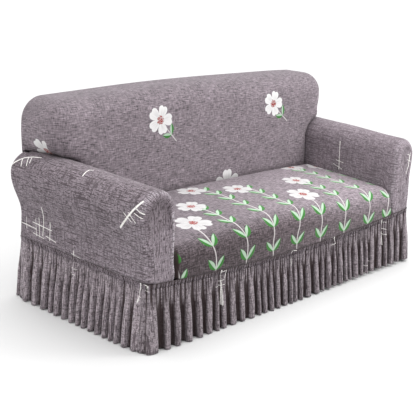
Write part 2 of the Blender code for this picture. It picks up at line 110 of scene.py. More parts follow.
# Relief of the cloth: slack is wide and soft, pulls are narrow
ARM_SLACK = 0.0016
ARM_PULL = 0.0013
SEAT_SLACK = 0.0022
SEAT_PULL = 0.0007
BACK_SLACK = 0.0020
BACK_PULL = 0.0018
REAR_SLACK = 0.0020
FACING_SINK = {-1: 0.0115, 1: 0.0035}   # left and right panel, under the roll
FACING_FOLD = 0.0040
FACING_STREAKS = 0.0012

# Flat cloth as it is cut
HEADING_GATHER = 1.25      # the heading's flat length beside that of its seam

# Folds of the skirt
FOLD_SIDES = (
    # name, number of folds, seed
    ("front", 36, 5),
    ("right", 16, 11),
    ("back", 36, 17),
    ("left", 16, 23),
)
FOLD_WIDTHS = (0.62, 1.38)   # a fold's width as a share of the mean
FOLD_DEPTHS = (0.60, 1.00)
CORNER_FOLD = 1.9            # the folds at the corners are this much wider
CORNER_FILL = 0.50           # how far the valleys in which the panels meet are filled
FOLD_SET = 0.65              # share of a fold's depth that lies inside the skirt's line
DENT_CHANCE = 0.70           # folds whose chance value is over this have a dent
DENT_DEPTH = 0.20            # as a share of the fold's depth
SPREAD_FALL = 0.7            # where the skirt's flat width is measured, from top to hem
ROW_EASE = 1.25              # the skirt's rows lie closer together near the heading
HEM_WAVE = 0.0030            # how much the hem rises and falls
RIB_PITCH = 0.0062           # fine puckers of the heading
RIB_DEPTH = 0.0009
RIDGE_DEPTH = 0.0014         # ridge under the seam, and the groove under that
GROOVE_DEPTH = -0.0012

HALF_WIDTH = SEAM_WIDTH / 2
HALF_DEPTH = SEAM_DEPTH / 2
INNER_X = HALF_WIDTH - ARM_WIDTH
SEAT_REAR_Y = HALF_DEPTH - SEAT_LINE

# Stations of the fine sheets
ROUND_STEPS = 8
WALL_STEPS = 22
ROLL_STEPS = 40           # over the whole roll; a multiple of 8, so that the cut fits
CUT_SHARE = 5 / 8         # behind the backrest's front the arm's cloth starts here
ARM_RUN_STEPS = 40
WING_STEPS = 10
SEAT_ACROSS = 72
SEAT_DEEP = 30
NOSE_STEPS = 12
DROP_STEPS = 8
BACK_ACROSS = 72
CREASE_COLUMNS = (0.0, 0.0025, 0.005, 0.008, 0.012, 0.018, 0.027, 0.040)  # beside the arms
BACK_ROWS = 22
RISE_STEPS = 16
RISE_EASE = 1.6           # the rows lie closer together beside the arms
CORNER_STEPS = 14
FACING_ACROSS = 20
HEADING_ROWS = 8
FOLD_STEPS = 32
SKIRT_ROWS = 22
END_TUCK_ROWS = 12        # rows over which the backrest's end is drawn in

# ---------------------------------------------------------------- print, by its own rules
STEM_PITCH = 0.1705       # the stems on the seat; the fifth one is near its middle
STEMS = (
    # place at the seam, lean towards the right, leaf pairs, how close they sit, where the
    # stem ends, how much lower its first pair is
    (-0.711, -0.086, 2, 1.33, 0.500, 0.006),
    (-0.510, -0.022, 2, 1.00, 0.395, 0.0),
    (-0.328, -0.018, 5, 1.12, 0.252, 0.0),
    (-0.162, 0.016, 7, 1.00, 0.085, 0.0),
    (-0.002, 0.042, 6, 1.04, 0.188, 0.0),
    (0.169, 0.016, 2, 1.00, 0.395, 0.0),
    (0.348, 0.012, 5, 1.12, 0.238, 0.0),
    (0.530, 0.018, 7, 1.00, 0.040, 0.0),
    (0.676, 0.050, 7, 1.00, 0.100, 0.0),
)
LEAF_START = 0.647        # the lowest leaf pair, measured from the backrest over the seat
LEAF_SPACING = (9.5, 3.8)
SEAT_FLOWERS = (
    # across, distance from the backrest, radius, turn
    (-0.722, 0.188, 0.066, 0.15),
    (-0.500, 0.393, 0.082, 0.05),
    (-0.370, 0.250, 0.069, 0.10),
    (-0.204, 0.083, 0.069, 0.00),
    (-0.012, 0.187, 0.071, 0.12),
    (0.206, 0.393, 0.079, 0.03),
    (0.348, 0.236, 0.072, 0.15),
    (0.558, 0.032, 0.068, 0.08),
    (0.716, 0.075, 0.062, 0.10),
)
BACK_FLOWERS = (
    # across, height, radius, turn
    (-0.314, 0.754, 0.072, 0.66),
    (0.444, 0.757, 0.069, 0.60),
    (0.120, 0.396, 0.088, 0.30),
)
WING_FLOWER = (-0.941, 0.663, 0.064, 0.88)
WING_FLOWER_EDGE = (-0.35, -1.160)   # a line beyond which a fold hides it: slope and place
PETAL_OUTLINE = (
    # share of the way round a petal, its edge's distance from the centre
    (0.07, 0.72), (0.20, 0.93), (0.37, 0.99), (0.50, 0.92), (0.61, 0.985), (0.81, 0.91),
    (0.93, 0.70),
)
PETAL_START = 0.44        # the edge's distance between two petals
LEAF_LENGTH = 0.068
LEAF_HALF_WIDTH = 0.0142
LEAF_ARCH = 0.0035        # how far a leaf bends
LEAF_OUT = 0.66           # a leaf's direction, outwards and up
LEAF_UP = 0.75
STEM_HALF_WIDTH = (0.0022, 0.0036)   # full colour up to the first, none past the second
STEM_SWAY = 0.022
BACK_STEMS = (
    # start, end, where the leaves meet
    ((-0.300, 0.738), (-0.217, 0.651), (-0.245, 0.681)),
    ((0.458, 0.738), (0.552, 0.662), (0.519, 0.692)),
)
ARM_STROKES = (
    # start and end as (depth, height), width
    ((0.381, 0.339), (0.276, 0.333), 0.0052),
    ((0.301, 0.358), (0.173, 0.350), 0.0052),
    ((0.345, 0.370), (0.346, 0.320), 0.0044),
    ((0.280, 0.376), (0.277, 0.302), 0.0046),
    ((0.257, 0.387), (0.255, 0.304), 0.0048),
    ((0.217, 0.441), (0.233, 0.313), 0.0060),
    ((0.180, 0.383), (0.186, 0.305), 0.0056),
    ((0.213, 0.318), (0.146, 0.307), 0.0050),
    ((0.300, 0.311), (0.225, 0.304), 0.0044),
    ((-0.282, 0.476), (-0.386, 0.593), 0.0105),
    ((-0.306, 0.538), (-0.346, 0.511), 0.0046),
    ((-0.332, 0.544), (-0.367, 0.512), 0.0046),
    ((-0.363, 0.548), (-0.398, 0.535), 0.0046),
    ((-0.371, 0.565), (-0.403, 0.551), 0.0046),
    ((0.030, 0.300), (0.022, 0.257), 0.0060),
    ((0.042, 0.285), (-0.014, 0.279), 0.0040),
)
ARM_TOP_STROKES = (
    # start and end on the cloth, as (along the arm, round it from the inner seam), width
    ((0.388, 0.434), (0.366, 0.413), 0.0070),
    ((0.366, 0.413), (0.343, 0.393), 0.0070),
    ((0.343, 0.393), (0.308, 0.377), 0.0064),
    ((0.308, 0.377), (0.266, 0.368), 0.0060),
    ((0.349, 0.398), (0.332, 0.431), 0.0046),
    ((0.324, 0.386), (0.303, 0.422), 0.0046),
    ((0.309, 0.381), (0.295, 0.408), 0.0042),
    ((-0.015, 0.388), (-0.010, 0.368), 0.0060),
    ((-0.010, 0.368), (-0.008, 0.349), 0.0060),
    ((-0.008, 0.349), (-0.022, 0.340), 0.0050),
)
ARM_EDGE_STROKES = (
    # start and end as (across, height), width
    ((0.846, 0.554), (0.840, 0.488), 0.0040),
    ((0.840, 0.488), (0.826, 0.453), 0.0036),
    ((0.851, 0.512), (0.832, 0.522), 0.0032),
    ((0.848, 0.540), (0.828, 0.550), 0.0032),
)
INNER_ARM_STROKES = (
    # start and end as (depth, height), width
    ((-0.067, 0.567), (-0.072, 0.426), 0.0056),
    ((-0.050, 0.471), (-0.095, 0.464), 0.0036),
    ((-0.036, 0.448), (-0.091, 0.430), 0.0036),
)
FRONT_STROKES = (
    # start and end as (across, height), width
    ((-0.880, 0.276), (-0.867, 0.267), 0.0034),
    ((-0.880, 0.256), (-0.867, 0.247), 0.0034),
    ((-0.868, 0.267), (-0.868, 0.246), 0.0030),
    ((-0.478, 0.246), (-0.476, 0.102), 0.0060),
    ((-0.478, 0.238), (-0.447, 0.240), 0.0030),
    ((-0.490, 0.200), (-0.456, 0.204), 0.0030),
    ((-0.509, 0.183), (-0.462, 0.184), 0.0030),
    ((-0.448, 0.240), (-0.458, 0.186), 0.0026),
    ((-0.033, 0.240), (-0.042, 0.152), 0.0036),
    ((-0.033, 0.238), (-0.002, 0.230), 0.0028),
    ((0.266, 0.246), (0.274, 0.213), 0.0056),
    ((0.250, 0.200), (0.292, 0.209), 0.0038),
    ((0.646, 0.252), (0.668, 0.122), 0.0044),
    ((0.650, 0.238), (0.684, 0.232), 0.0030),
    ((0.652, 0.205), (0.690, 0.196), 0.0028),
    ((0.655, 0.178), (0.688, 0.170), 0.0026),
    ((0.552, 0.064), (0.494, 0.047), 0.0042),
    ((0.492, 0.036), (0.518, 0.008), 0.0032),
)
LEFT_STROKES = (
    # start and end as (depth, height), width
    ((-0.376, 0.283), (-0.361, 0.198), 0.0050),
    ((-0.376, 0.276), (-0.400, 0.266), 0.0030),
    ((-0.372, 0.256), (-0.398, 0.247), 0.0030),
    ((-0.366, 0.222), (-0.384, 0.218), 0.0026),
    ((0.042, 0.226), (0.011, 0.224), 0.0028),
    ((0.052, 0.202), (0.015, 0.202), 0.0028),
    ((0.030, 0.262), (0.024, 0.254), 0.0034),
)

FRONT_HEADING_MARKS = 13   # as many of the first front strokes reach up into the heading
LEFT_HEADING_MARKS = 4
SIDE_VIEW = (0.06, 1.0, 1.0)   # how much each axis counts for a stroke
FRONT_VIEW = (1.0, 0.06, 1.0)
STROKE_SHAKE = 0.0026      # how far a stroke's edge wanders

# ---------------------------------------------------------------- looks of the cloth
SMOOTH_THREADS = (1.75, 1.25)   # how much the threads across and down show
ARM_THREADS = (1.05, 0.75)
RIGHT_ARM_THREADS = (0.75, 0.50)
FACING_THREADS = (0.40, 1.05)
SKIRT_THREADS = (0.55, 1.0)
SLUB_SHARE = 0.9           # how much the flecked cloth's slub shows beside its flecks
LONG_SHARE = 0.92          # how much its long dark threads show beside the short ones
SLUB_THREADS = (
    # way of the threads, pattern, how fine it is along each axis
    ("Across", 0, (44.0, 210.0, 1.0)),
    ("Down", 0, (230.0, 46.0, 1.0)),
    ("Across", 1, (22.0, 270.0, 1.0)),
    ("Down", 1, (320.0, 30.0, 1.0)),
)
SHORT_THREADS = (
    # the dark ones, then the pale ones: fineness along and across the thread, shift, and
    # from which to which value of the noise they show
    (58.0, 215.0, (1.0, 5.0, 0.0), (0.560, 0.620)),
    (40.0, 300.0, (7.0, 3.0, 0.0), (0.560, 0.660)),
)
LONG_THREADS = (("Across", (10.0, 190.0, 1.0)), ("Down", (190.0, 11.0, 1.0)))
LONG_LIMITS = (0.570, 0.615)
FRONT_HOLLOW = (0.33, 0.68)   # from and to which share of its depth a fold gets painted shade; below, the same for the other parts' painted shade in folds, crevices and gaps
SIDE_HOLLOW = (0.54, 0.88)
ARM_HOLLOW = (0.0, 1.0)
SEAT_HOLLOW = (0.10, 0.85)
BACK_HOLLOW = (0.05, 0.90)
RIM_HIGHLIGHT_FACTOR = (1.85, 2.0, 1.93)   # what the colour of an arm's front rim is multiplied by: a painted highlight
FRONT_SHADE_SHARE = 0.70         # how bright the front skirt and heading are beside the side ones: painted shade
RIGHT_ARM_LIGHT = 1.16     # how bright the right arm's ground is: painted light on the same cloth as the left arm's
LEFT_FACING_LIGHT = 1.02        # how bright the left front panel's ground is: a little painted light on the same cloth
ARM_TOP_SHADE = 0.13       # painted tones of the arms: over 0 painted shade, below 0 painted highlight
# painted highlight on the left arm's outer side near its front and on the front rims, its share on
# the right arm, and painted shade on the left rim's lip
OUTER_FRONT_HIGHLIGHT = 0.09
RIM_HIGHLIGHT_STRENGTH = {"inner": 0.70, "roll": 0.62, "outer": 0.20}
RIGHT_RIM_SHARE = 0.3
LIP_SHADE = 0.24

# ---------------------------------------------------------------- view
CAMERA_PLACE = Vector((-3.13015, -2.85541, 1.49897))
CAMERA_YAW = 0.808426
CAMERA_PITCH = 0.269614
CAMERA_ROLL = 0.037321
SENSOR_WIDTH = 36.0        # in millimetres
KEY_PLACE = (2.2, -2.6, 2.0)
KEY_TARGET = (0.2, 0.0, 0.4)
KEY_SIZE = 1.8
FLOOR_SIZE = 80.0


# ---------------------------------------------------------------- settings
class ClothSettings(bpy.types.PropertyGroup):
    """Thickness and colours of the cloth and its print."""
    thickness: FloatProperty(
        name="Thickness", description="Thickness of the cloth", default=0.002,
        min=0.001, max=0.003, unit="LENGTH", precision=4)
    smooth_colour: FloatVectorProperty(
        name="Smooth cloth", description="Ground colour of the seat and the backrest",
        default=(0.212, 0.178, 0.199), min=0.0, max=1.0, subtype="COLOR")
    flecked_colour: FloatVectorProperty(
        name="Flecked cloth", description="Ground colour of the arms and the skirt",
        default=(0.240, 0.203, 0.228), min=0.0, max=1.0, subtype="COLOR")
    # painted light: a paler ground than the flecked cloth that the skirt is cut from, so that the
    # crests of its folds look lit
    skirt_lit_colour: FloatVectorProperty(
        name="Skirt's crests", description="Ground colour on the crests of the skirt's folds",
        default=(0.375, 0.325, 0.352), min=0.0, max=1.0, subtype="COLOR")
    fleck_colour: FloatVectorProperty(
        name="Flecks", description="Dark threads in the flecked cloth",
        default=(0.046, 0.032, 0.038), min=0.0, max=1.0, subtype="COLOR")
    # painted shade: what the cloth down the seat's front is multiplied by
    drop_shade_colour: FloatVectorProperty(
        name="Seat's front",
        description="What the cloth's colour is multiplied by down the seat's front",
        default=(0.31, 0.262, 0.258), min=0.0, max=1.0, subtype="COLOR")
    # painted shade in the skirt's folds and in the crevices and gaps of the seat, backrest and arms
    hollow_shade_colour: FloatVectorProperty(
        name="Fold hollows", description="Painted shade in the skirt's folds and in the crevices",
        default=(0.024, 0.013, 0.013), min=0.0, max=1.0, subtype="COLOR")
    petal_colour: FloatVectorProperty(
        name="Petals", description="Flowers of the print",
        default=(0.62, 0.61, 0.61), min=0.0, max=1.0, subtype="COLOR")
    eye_colour: FloatVectorProperty(
        name="Flower centres", description="Sketched centres of the flowers",
        default=(0.27, 0.018, 0.012), min=0.0, max=1.0, subtype="COLOR")
    leaf_colour: FloatVectorProperty(
        name="Leaves, outer half", description="Green of the leaves' outer halves",
        default=(0.036, 0.185, 0.028), min=0.0, max=1.0, subtype="COLOR")
    mint_colour: FloatVectorProperty(
        name="Leaves, inner half", description="Pale green of the leaves' inner halves",
        default=(0.40, 0.55, 0.41), min=0.0, max=1.0, subtype="COLOR")
    stem_colour: FloatVectorProperty(
        name="Stems", description="Stems of the print",
        default=(0.56, 0.53, 0.53), min=0.0, max=1.0, subtype="COLOR")
    stroke_colour: FloatVectorProperty(
        name="Strokes", description="Brushed marks on the arms and the skirt",
        default=(0.88, 0.86, 0.83), min=0.0, max=1.0, subtype="COLOR")


class FoldSettings(bpy.types.PropertyGroup):
    """How the gathered skirt falls."""
    top_depth: FloatProperty(
        name="Depth at the top", description="Depth of a fold just under the heading",
        default=0.005, min=0.002, max=0.015, unit="LENGTH", precision=4)
    hem_depth: FloatProperty(
        name="Depth at the hem", description="Depth of the deepest fold at the hem",
        default=0.036, min=0.010, max=0.045, unit="LENGTH", precision=4)
    pleat_depth: FloatProperty(
        name="Fine pleats", description="Depth of the fine pleats under the heading",
        default=0.0065, min=0.0, max=0.008, unit="LENGTH", precision=4)
    pleats: IntProperty(
        name="Fine pleats in a fold", description="Fine pleats that run into one fold",
        default=4, min=1, max=5)
    undercut: FloatProperty(
        name="Roundness", description="Over 1, the sides of a fold turn back under its crest",
        default=1.05, min=0.5, max=1.3)
    valley: FloatProperty(
        name="Valleys", description="How much wider the valleys are than the crests",
        default=0.18, min=0.0, max=0.8)
    wander: FloatProperty(
        name="Wander", description="How far a fold strays sideways on its way down",
        default=0.007, min=0.0, max=0.015, unit="LENGTH", precision=4)


class StageSettings(bpy.types.PropertyGroup):
    """Camera, lights and floor."""
    lens: FloatProperty(
        name="Lens", description="Focal length of the camera in millimetres",
        default=82.5295, min=20.0, max=200.0)
    key_power: FloatProperty(
        name="Key light", description="Large soft light from the front right, above",
        default=60.0, min=0.0, max=2000.0, unit="POWER")
    level_light: FloatProperty(
        name="Level light", description="Strength of the white surround at eye level",
        default=0.30, min=0.0, max=3.0)
    top_light: FloatProperty(
        name="Top light", description="How much stronger the surround is straight above",
        default=2.9, min=0.0, max=6.0)
    floor_colour: FloatVectorProperty(
        name="Floor", description="Colour of the pale floor",
        default=(0.62, 0.62, 0.62), min=0.0, max=1.0, subtype="COLOR")


# ---------------------------------------------------------------- numbers
def mix(a, b, share):
    """Value between a and b."""
    return a + (b - a) * share


def smooth(share):
    """Soft step from 0 to 1."""
    share = min(max(share, 0.0), 1.0)
    return share * share * (3 - 2 * share)


def steps(start, end, count):
    """Evenly spaced values from start to end, both included."""
    return [mix(start, end, i / count) for i in range(count + 1)]


def quarter_turn(count):
    """Angles from 0 to a right angle."""
    return steps(0.0, math.pi / 2, count)


def along(points):
    """Distance of each point of a line from its first one."""
    run = [0.0]
    for before, after in zip(points, points[1:]):
        run.append(run[-1] + (after - before).length)
    return run


def ripple(x, y, z=0.0):
    """Smooth chance value from about -1 to 1."""
    return noise.noise(Vector((x, y, z)))


# ---------------------------------------------------------------- sheets of cloth
def add_patch(points, faces, places, hollows, columns, rows, place, keep=None):
    """Adds a grid of columns by rows cells. place gives a station's point, its place on the
    flat cloth in metres and, where the cloth is painted darker or paler, how much: on gathered
    cloth how deep in a fold it lies, from 0 to 1, for painted shade, and below 0 a painted
    highlight."""
    first = len(points)
    stations = [place(column, row) for row in range(rows + 1) for column in range(columns + 1)]
    points += [station[0] for station in stations]
    hollows += [station[2] if len(station) > 2 else 0.0 for station in stations]
    for row in range(rows):
        for column in range(columns):
            if keep and not keep(column, row):
                continue
            corner = row * (columns + 1) + column
            around = (corner, corner + 1, corner + columns + 2, corner + columns + 1)
            faces.append([first + station for station in around])
            places += [stations[station][1] for station in around]


def press(mesh, relief, reach):
    """Moves the sheet along its normals by relief, and not at all along its edges."""
    edge = [vertex.co.copy() for vertex in mesh.verts if vertex.is_boundary]
    tree = kdtree.KDTree(len(edge))
    for number, place in enumerate(edge):
        tree.insert(place, number)
    tree.balance()
    mesh.normal_update()
    moves = [(vertex, vertex.normal * relief(vertex.co) * smooth(tree.find(vertex.co)[2] / reach))
             for vertex in mesh.verts]
    for vertex, move in moves:
        vertex.co += move


def make_sheet(name, patches, material, turned=False, relief=None, reach=0.025, thickness=None):
    """Object of one piece of cloth: its patches joined, its thickness turned inwards. reach
    is how far from its edges the relief grows to its full height."""
    points, faces, places, hollows = [], [], [], []
    for patch in patches:
        add_patch(points, faces, places, hollows, *patch)
    data = bpy.data.meshes.new(name)
    data.from_pydata(points, [], faces)
    if any(hollows):
        data.attributes.new("hollow", "FLOAT", "POINT").data.foreach_set("value", hollows)
    layer = data.uv_layers.new(name="cloth")
    layer.data.foreach_set("uv", [value for place in places for value in place])
    mesh = bmesh.new()
    mesh.from_mesh(data)
    bmesh.ops.delete(mesh, geom=[v for v in mesh.verts if not v.link_faces], context="VERTS")
    bmesh.ops.remove_doubles(mesh, verts=mesh.verts, dist=0.00005)
    if turned:
        bmesh.ops.reverse_faces(mesh, faces=mesh.faces)
    if relief:
        press(mesh, relief, reach)
    mesh.to_mesh(data)
    mesh.free()
    data.shade_smooth()
    data.materials.append(material)
    piece = bpy.data.objects.new(name, data)
    bpy.context.scene.collection.objects.link(piece)
    bpy.ops.object.select_all(action="DESELECT")
    bpy.context.view_layer.objects.active = piece
    piece.select_set(True)
    solid = piece.modifiers.new("Thickness", "SOLIDIFY")
    solid.thickness = thickness or cloth_settings().thickness
    solid.offset = -1.0
    solid.use_even_offset = True
    bpy.ops.object.modifier_apply(modifier=solid.name)
    piece.select_set(False)
    return piece


def settle(piece, node):
    """Hangs the piece from the root and hides the solid that it stands for."""
    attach(piece, "root")
    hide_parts(node)


def cloth_settings():
    """The cloth's settings in the panel."""
    return bpy.context.scene.slipcover_cloth


# ---------------------------------------------------------------- shared outlines
def seam_z(x):
    """Height of the front seam, which hangs lower at its middle."""
    return SEAM_HEIGHT - SEAM_SAG * (1 - min(1.0, (x / HALF_WIDTH) ** 2))


def rear_y(z):
    """Depth of the rear panel at a height."""
    return HALF_DEPTH - BACK_LEAN_REAR * (z - SEAM_HEIGHT) / (BACK_HEIGHT - SEAM_HEIGHT)


def back_front_y(z):
    """Depth of the backrest's front at a height."""
    share = (z - SEAT_REAR_HEIGHT - SEAT_CROWN) / (BACK_HEIGHT - SEAT_REAR_HEIGHT)
    return SEAT_REAR_Y + BACK_LEAN_FRONT * max(0.0, share)


def arm_share(y):
    """0 at the arm's front, 1 at its rear."""
    return (y + HALF_DEPTH) / SEAM_DEPTH


def arm_roll(y):
    """Centre and half sizes of the arm's rounded top, outwards and up, at a depth."""
    over = mix(ROLL_OVER_FRONT, ROLL_OVER_REAR, arm_share(y))
    crest = mix(ARM_FRONT_HEIGHT, ARM_REAR_HEIGHT, arm_share(y))
    half = (ARM_WIDTH + over) / 2
    return INNER_X + half, crest - ROLL_RISE, half, over


def seat_height(y):
    """Height of the seat's top along its side, front edge rounding left out."""
    share = (y + HALF_DEPTH) / (SEAT_REAR_Y + HALF_DEPTH)
    return mix(SEAT_FRONT_HEIGHT, SEAT_REAR_HEIGHT, min(share, 1.0))


def seat_lift(x, y):
    """Height of the seat's middle over its sides, none at the arms."""
    across = x / INNER_X
    share = (y + HALF_DEPTH) / (SEAT_REAR_Y + HALF_DEPTH)
    puff = 4 * SEAT_PUFF * share * (1 - share) * (1 - across ** 4)
    return SEAT_CROWN * (1 - across ** 2) + max(0.0, puff)


def arm_foot(y):
    """Lower edge of the arm's inner side: down to the seam at the front, behind that
    down into the gap beside the seat."""
    low = seam_z(INNER_X + EDGE_ROUND / 2) + GAP
    share = smooth((y + HALF_DEPTH - FOOT_START) / FOOT_RUN)
    return mix(low, seat_height(y) - TUCK, share)


def arm_point(stretch, share, y, inset):
    """Point on the right arm's section at depth y, drawn in by inset. The stretches are
    the inner side from its foot up, the roll over to the outer side, and down to the seam."""
    centre_x, centre_z, half, over = arm_roll(y)
    if stretch == "inner":
        z = mix(arm_foot(y), centre_z, share)
        fade = mix(SEAM_SHARE, 1.0, smooth((z - SEAM_HEIGHT) / SEAM_FADE))
        rounding = min(inset, EDGE_ROUND)
        return Vector((INNER_X + rounding * fade + inset - rounding, y, z))
    if stretch == "outer":
        z = mix(centre_z, SEAM_HEIGHT + GAP, share)
        turn = min(math.pi, math.pi * (centre_z - z) / ROLL_EASE)
        slope = over * math.pi / (2 * ROLL_EASE) * math.sin(turn)
        normal = Vector((1.0, 0.0, -slope)).normalized()
        out = HALF_WIDTH + over * (1 + math.cos(turn)) / 2
        foot = 1.0 - smooth((z - SEAM_HEIGHT) / SEAM_FADE)
        inwards = normal.lerp(Vector((1.0, 0.0, 0.0)), foot)
        return Vector((out, y, z)) - inset * inwards
    turn = math.pi * (1 - share)
    return Vector((centre_x + (half - inset) * math.cos(turn), y,
                   centre_z + (ROLL_RISE - inset) * math.sin(turn)))


def arm_top_z(x, y):
    """Height of the arm's top at a place, with the cloth's clearance over it."""
    centre_x, centre_z, half, _ = arm_roll(y)
    into_edge = y - (rear_y(centre_z) - EDGE_ROUND)
    inset = 0.0
    if into_edge > 0:
        into_edge = min(into_edge, EDGE_ROUND)
        inset = EDGE_ROUND - math.sqrt(EDGE_ROUND ** 2 - into_edge ** 2)
    share = (x - centre_x) / (half - inset + CLEARANCE)
    share = min(max(share, -1.0), 1.0)
    return centre_z + (ROLL_RISE - inset + CLEARANCE) * math.sqrt(1 - share * share)


def section_rows():
    """Stations round an arm as (stretch, share), from the inner foot to the outer seam."""
    rows = [("inner", share) for share in steps(0.0, 1.0, WALL_STEPS)[:-1]]
    rows += [("roll", share) for share in steps(0.0, 1.0, ROLL_STEPS)[:-1]]
    return rows + [("outer", share) for share in steps(0.0, 1.0, WALL_STEPS)]


def edge_stations():
    """A rounded edge from its seam as (distance from the edge, how far it is drawn in)."""
    lip = [(0.0, EDGE_ROUND + LIP)]
    return lip + [(EDGE_ROUND * (1 - math.cos(turn)), EDGE_ROUND * (1 - math.sin(turn)))
                  for turn in quarter_turn(ROUND_STEPS)]


# ---------------------------------------------------------------- arms
def arm_depths():
    """Stations along an arm as (where, distance or depth, how far the edge is drawn in),
    and the number of the one where the backrest starts to cover the arm."""
    wing_y = SEAT_REAR_Y + BACK_LEAN_FRONT + WING_COVER
    edge = edge_stations()
    depths = [("front", distance, inset) for distance, inset in edge]
    depths += [("run", y, 0.0) for y in steps(EDGE_ROUND - HALF_DEPTH, wing_y, ARM_RUN_STEPS)[1:]]
    cut = len(depths) - 1
    depths += [("wing", share, 0.0) for share in steps(0.0, 1.0, WING_STEPS)[1:-1]]
    depths += [("rear", distance, inset) for distance, inset in reversed(edge)]
    return depths, cut, wing_y


def arm_wrap_point(row, where, distance, inset, wing_y):
    """Point of the right arm's cloth at one station round and one along the arm."""
    if where == "wing":
        point = arm_point(*row, mix(wing_y, HALF_DEPTH - EDGE_ROUND, distance), inset)
        point.y = mix(wing_y, rear_y(point.z) - EDGE_ROUND, distance)
        return point
    y = {"front": distance - HALF_DEPTH, "run": distance, "rear": HALF_DEPTH - distance}[where]
    point = arm_point(*row, y, inset)
    if where == "rear":
        point.y = rear_y(point.z) - distance
    return point


def roll_draw(side, x, y, z):
    """How far the right arm's roll is drawn inwards towards its front."""
    if side < 0:
        return 0.0
    forward = smooth((-0.02 - y) / 0.30)
    return ROLL_DRAW * forward * smooth((z - 0.34) / 0.16) * smooth((x - 0.78) / 0.07)


def rim_bulge(side, y, z):
    """How far the left arm's front rim stands out over the side of the seat's front."""
    if side > 0:
        return 0.0
    over = RIM_BULGE * smooth((0.57 - z) / 0.10) * smooth((z - 0.25) / 0.05)
    foot = FOOT_DRAW * (1 - smooth((z - SEAM_HEIGHT) / SEAM_FADE))
    return (over - foot) * smooth((-0.395 - y) / 0.02)


def arm_shade(side, where, distance, kind, z):
    """Painted tone of an arm's cloth: below 0 a painted highlight on its front rim and on the left
    arm's outer side near its front, above 0 painted shade on top and on the left rim's lip.
    """
    if where != "front":
        running = where == "run"
        fade = smooth((distance + HALF_DEPTH) / 0.05) if running else 1.0
        forward = 1 - smooth((distance + 0.34) / 0.22) if running and side < 0 else 0.0
        # painted shade on top; painted highlight on the left arm's outer side near its front
        on_top = ARM_TOP_SHADE * smooth((z - 0.55) / 0.06) * fade
        return on_top - OUTER_FRONT_HIGHLIGHT * forward * (kind == "outer")
    # painted highlight on the front rim, and painted shade on the lip beside the left one
    strength = RIM_HIGHLIGHT_STRENGTH[kind] * (1.0 if side < 0 else RIGHT_RIM_SHARE)
    turn = distance / EDGE_ROUND
    if side > 0 or kind == "inner":
        middle = 0.46 if side > 0 else 0.10
        return -strength * math.exp(-((turn - middle) / 0.26) ** 2)
    lip = LIP_SHADE * (1 - smooth(turn / 0.20)) * smooth((z - 0.42) / 0.10)
    return lip - strength * math.exp(-((turn - 0.46) / 0.26) ** 2)


def arm_creases(side):
    """Relief of an arm's cloth: slack along the roll and soft pulls under it."""
    def relief(place):
        x, y, z = place
        slack = ARM_SLACK * ripple(y * 5 + side, z * 7, x * 5)
        pull = ARM_PULL * ripple(y * 26 + z * 9, z * 5 - y * 3, side * 4)
        under = smooth((0.60 - z) / 0.06) * smooth((z - 0.36) / 0.10)
        return slack + pull * mix(0.35, 1.0, under)
    return relief


def make_arm_wrap(side, word, material):
    """Inner side, rounded top and outer side of an arm in one piece."""
    rows = section_rows()
    depths, cut, wing_y = arm_depths()
    cut_row = WALL_STEPS + round(ROLL_STEPS * CUT_SHARE)
    shoulder_row = WALL_STEPS + round(ROLL_STEPS * (1 - CUT_SHARE))
    rear_start = cut + WING_STEPS - 1
    top_row = rows[WALL_STEPS + ROLL_STEPS * 3 // 4]
    run = along([arm_wrap_point(top_row, *depth, wing_y) for depth in depths])
    round_way = along([arm_point(*row, -0.2, 0.0) for row in rows])

    def place(column, row):
        point = arm_wrap_point(rows[row], *depths[column], wing_y)
        # painted shade and painted highlight of the arm's cloth
        shade = arm_shade(side, *depths[column][:2], rows[row][0], point.z)
        if rows[row][0] == "inner":
            point.x -= rim_bulge(side, point.y, point.z)
        point.x -= roll_draw(side, *point)
        point.x *= side
        return point, (run[column] - HALF_DEPTH, round_way[row]), shade

    def keep(column, row):
        return column < cut or row >= cut_row or (row >= shoulder_row and column < rear_start)

    patch = (len(depths) - 1, len(rows) - 1, place, keep)
    return make_sheet(f"arm_{word}_cloth", [patch], material, turned=side > 0,
                      relief=arm_creases(side))


def facing_dents(side):
    """Relief of an arm's front panel, which sinks in under the roll."""
    def relief(place):
        x, _, z = place
        across = (abs(x) - INNER_X) / ARM_WIDTH
        top = FACING_SINK[side] * smooth((z - 0.40) / 0.13)
        crease = math.exp(-((z - 0.500 + 0.10 * across) / 0.014) ** 2)
        fold = FACING_FOLD * crease * smooth(across * 1.6)
        streak = FACING_STREAKS * ripple(x * 34 + side, 3.0, z * 3)
        return -top - fold - streak - FACING_STREAKS * ripple(x * 9 + side, 0.0, z * 11)
    return relief


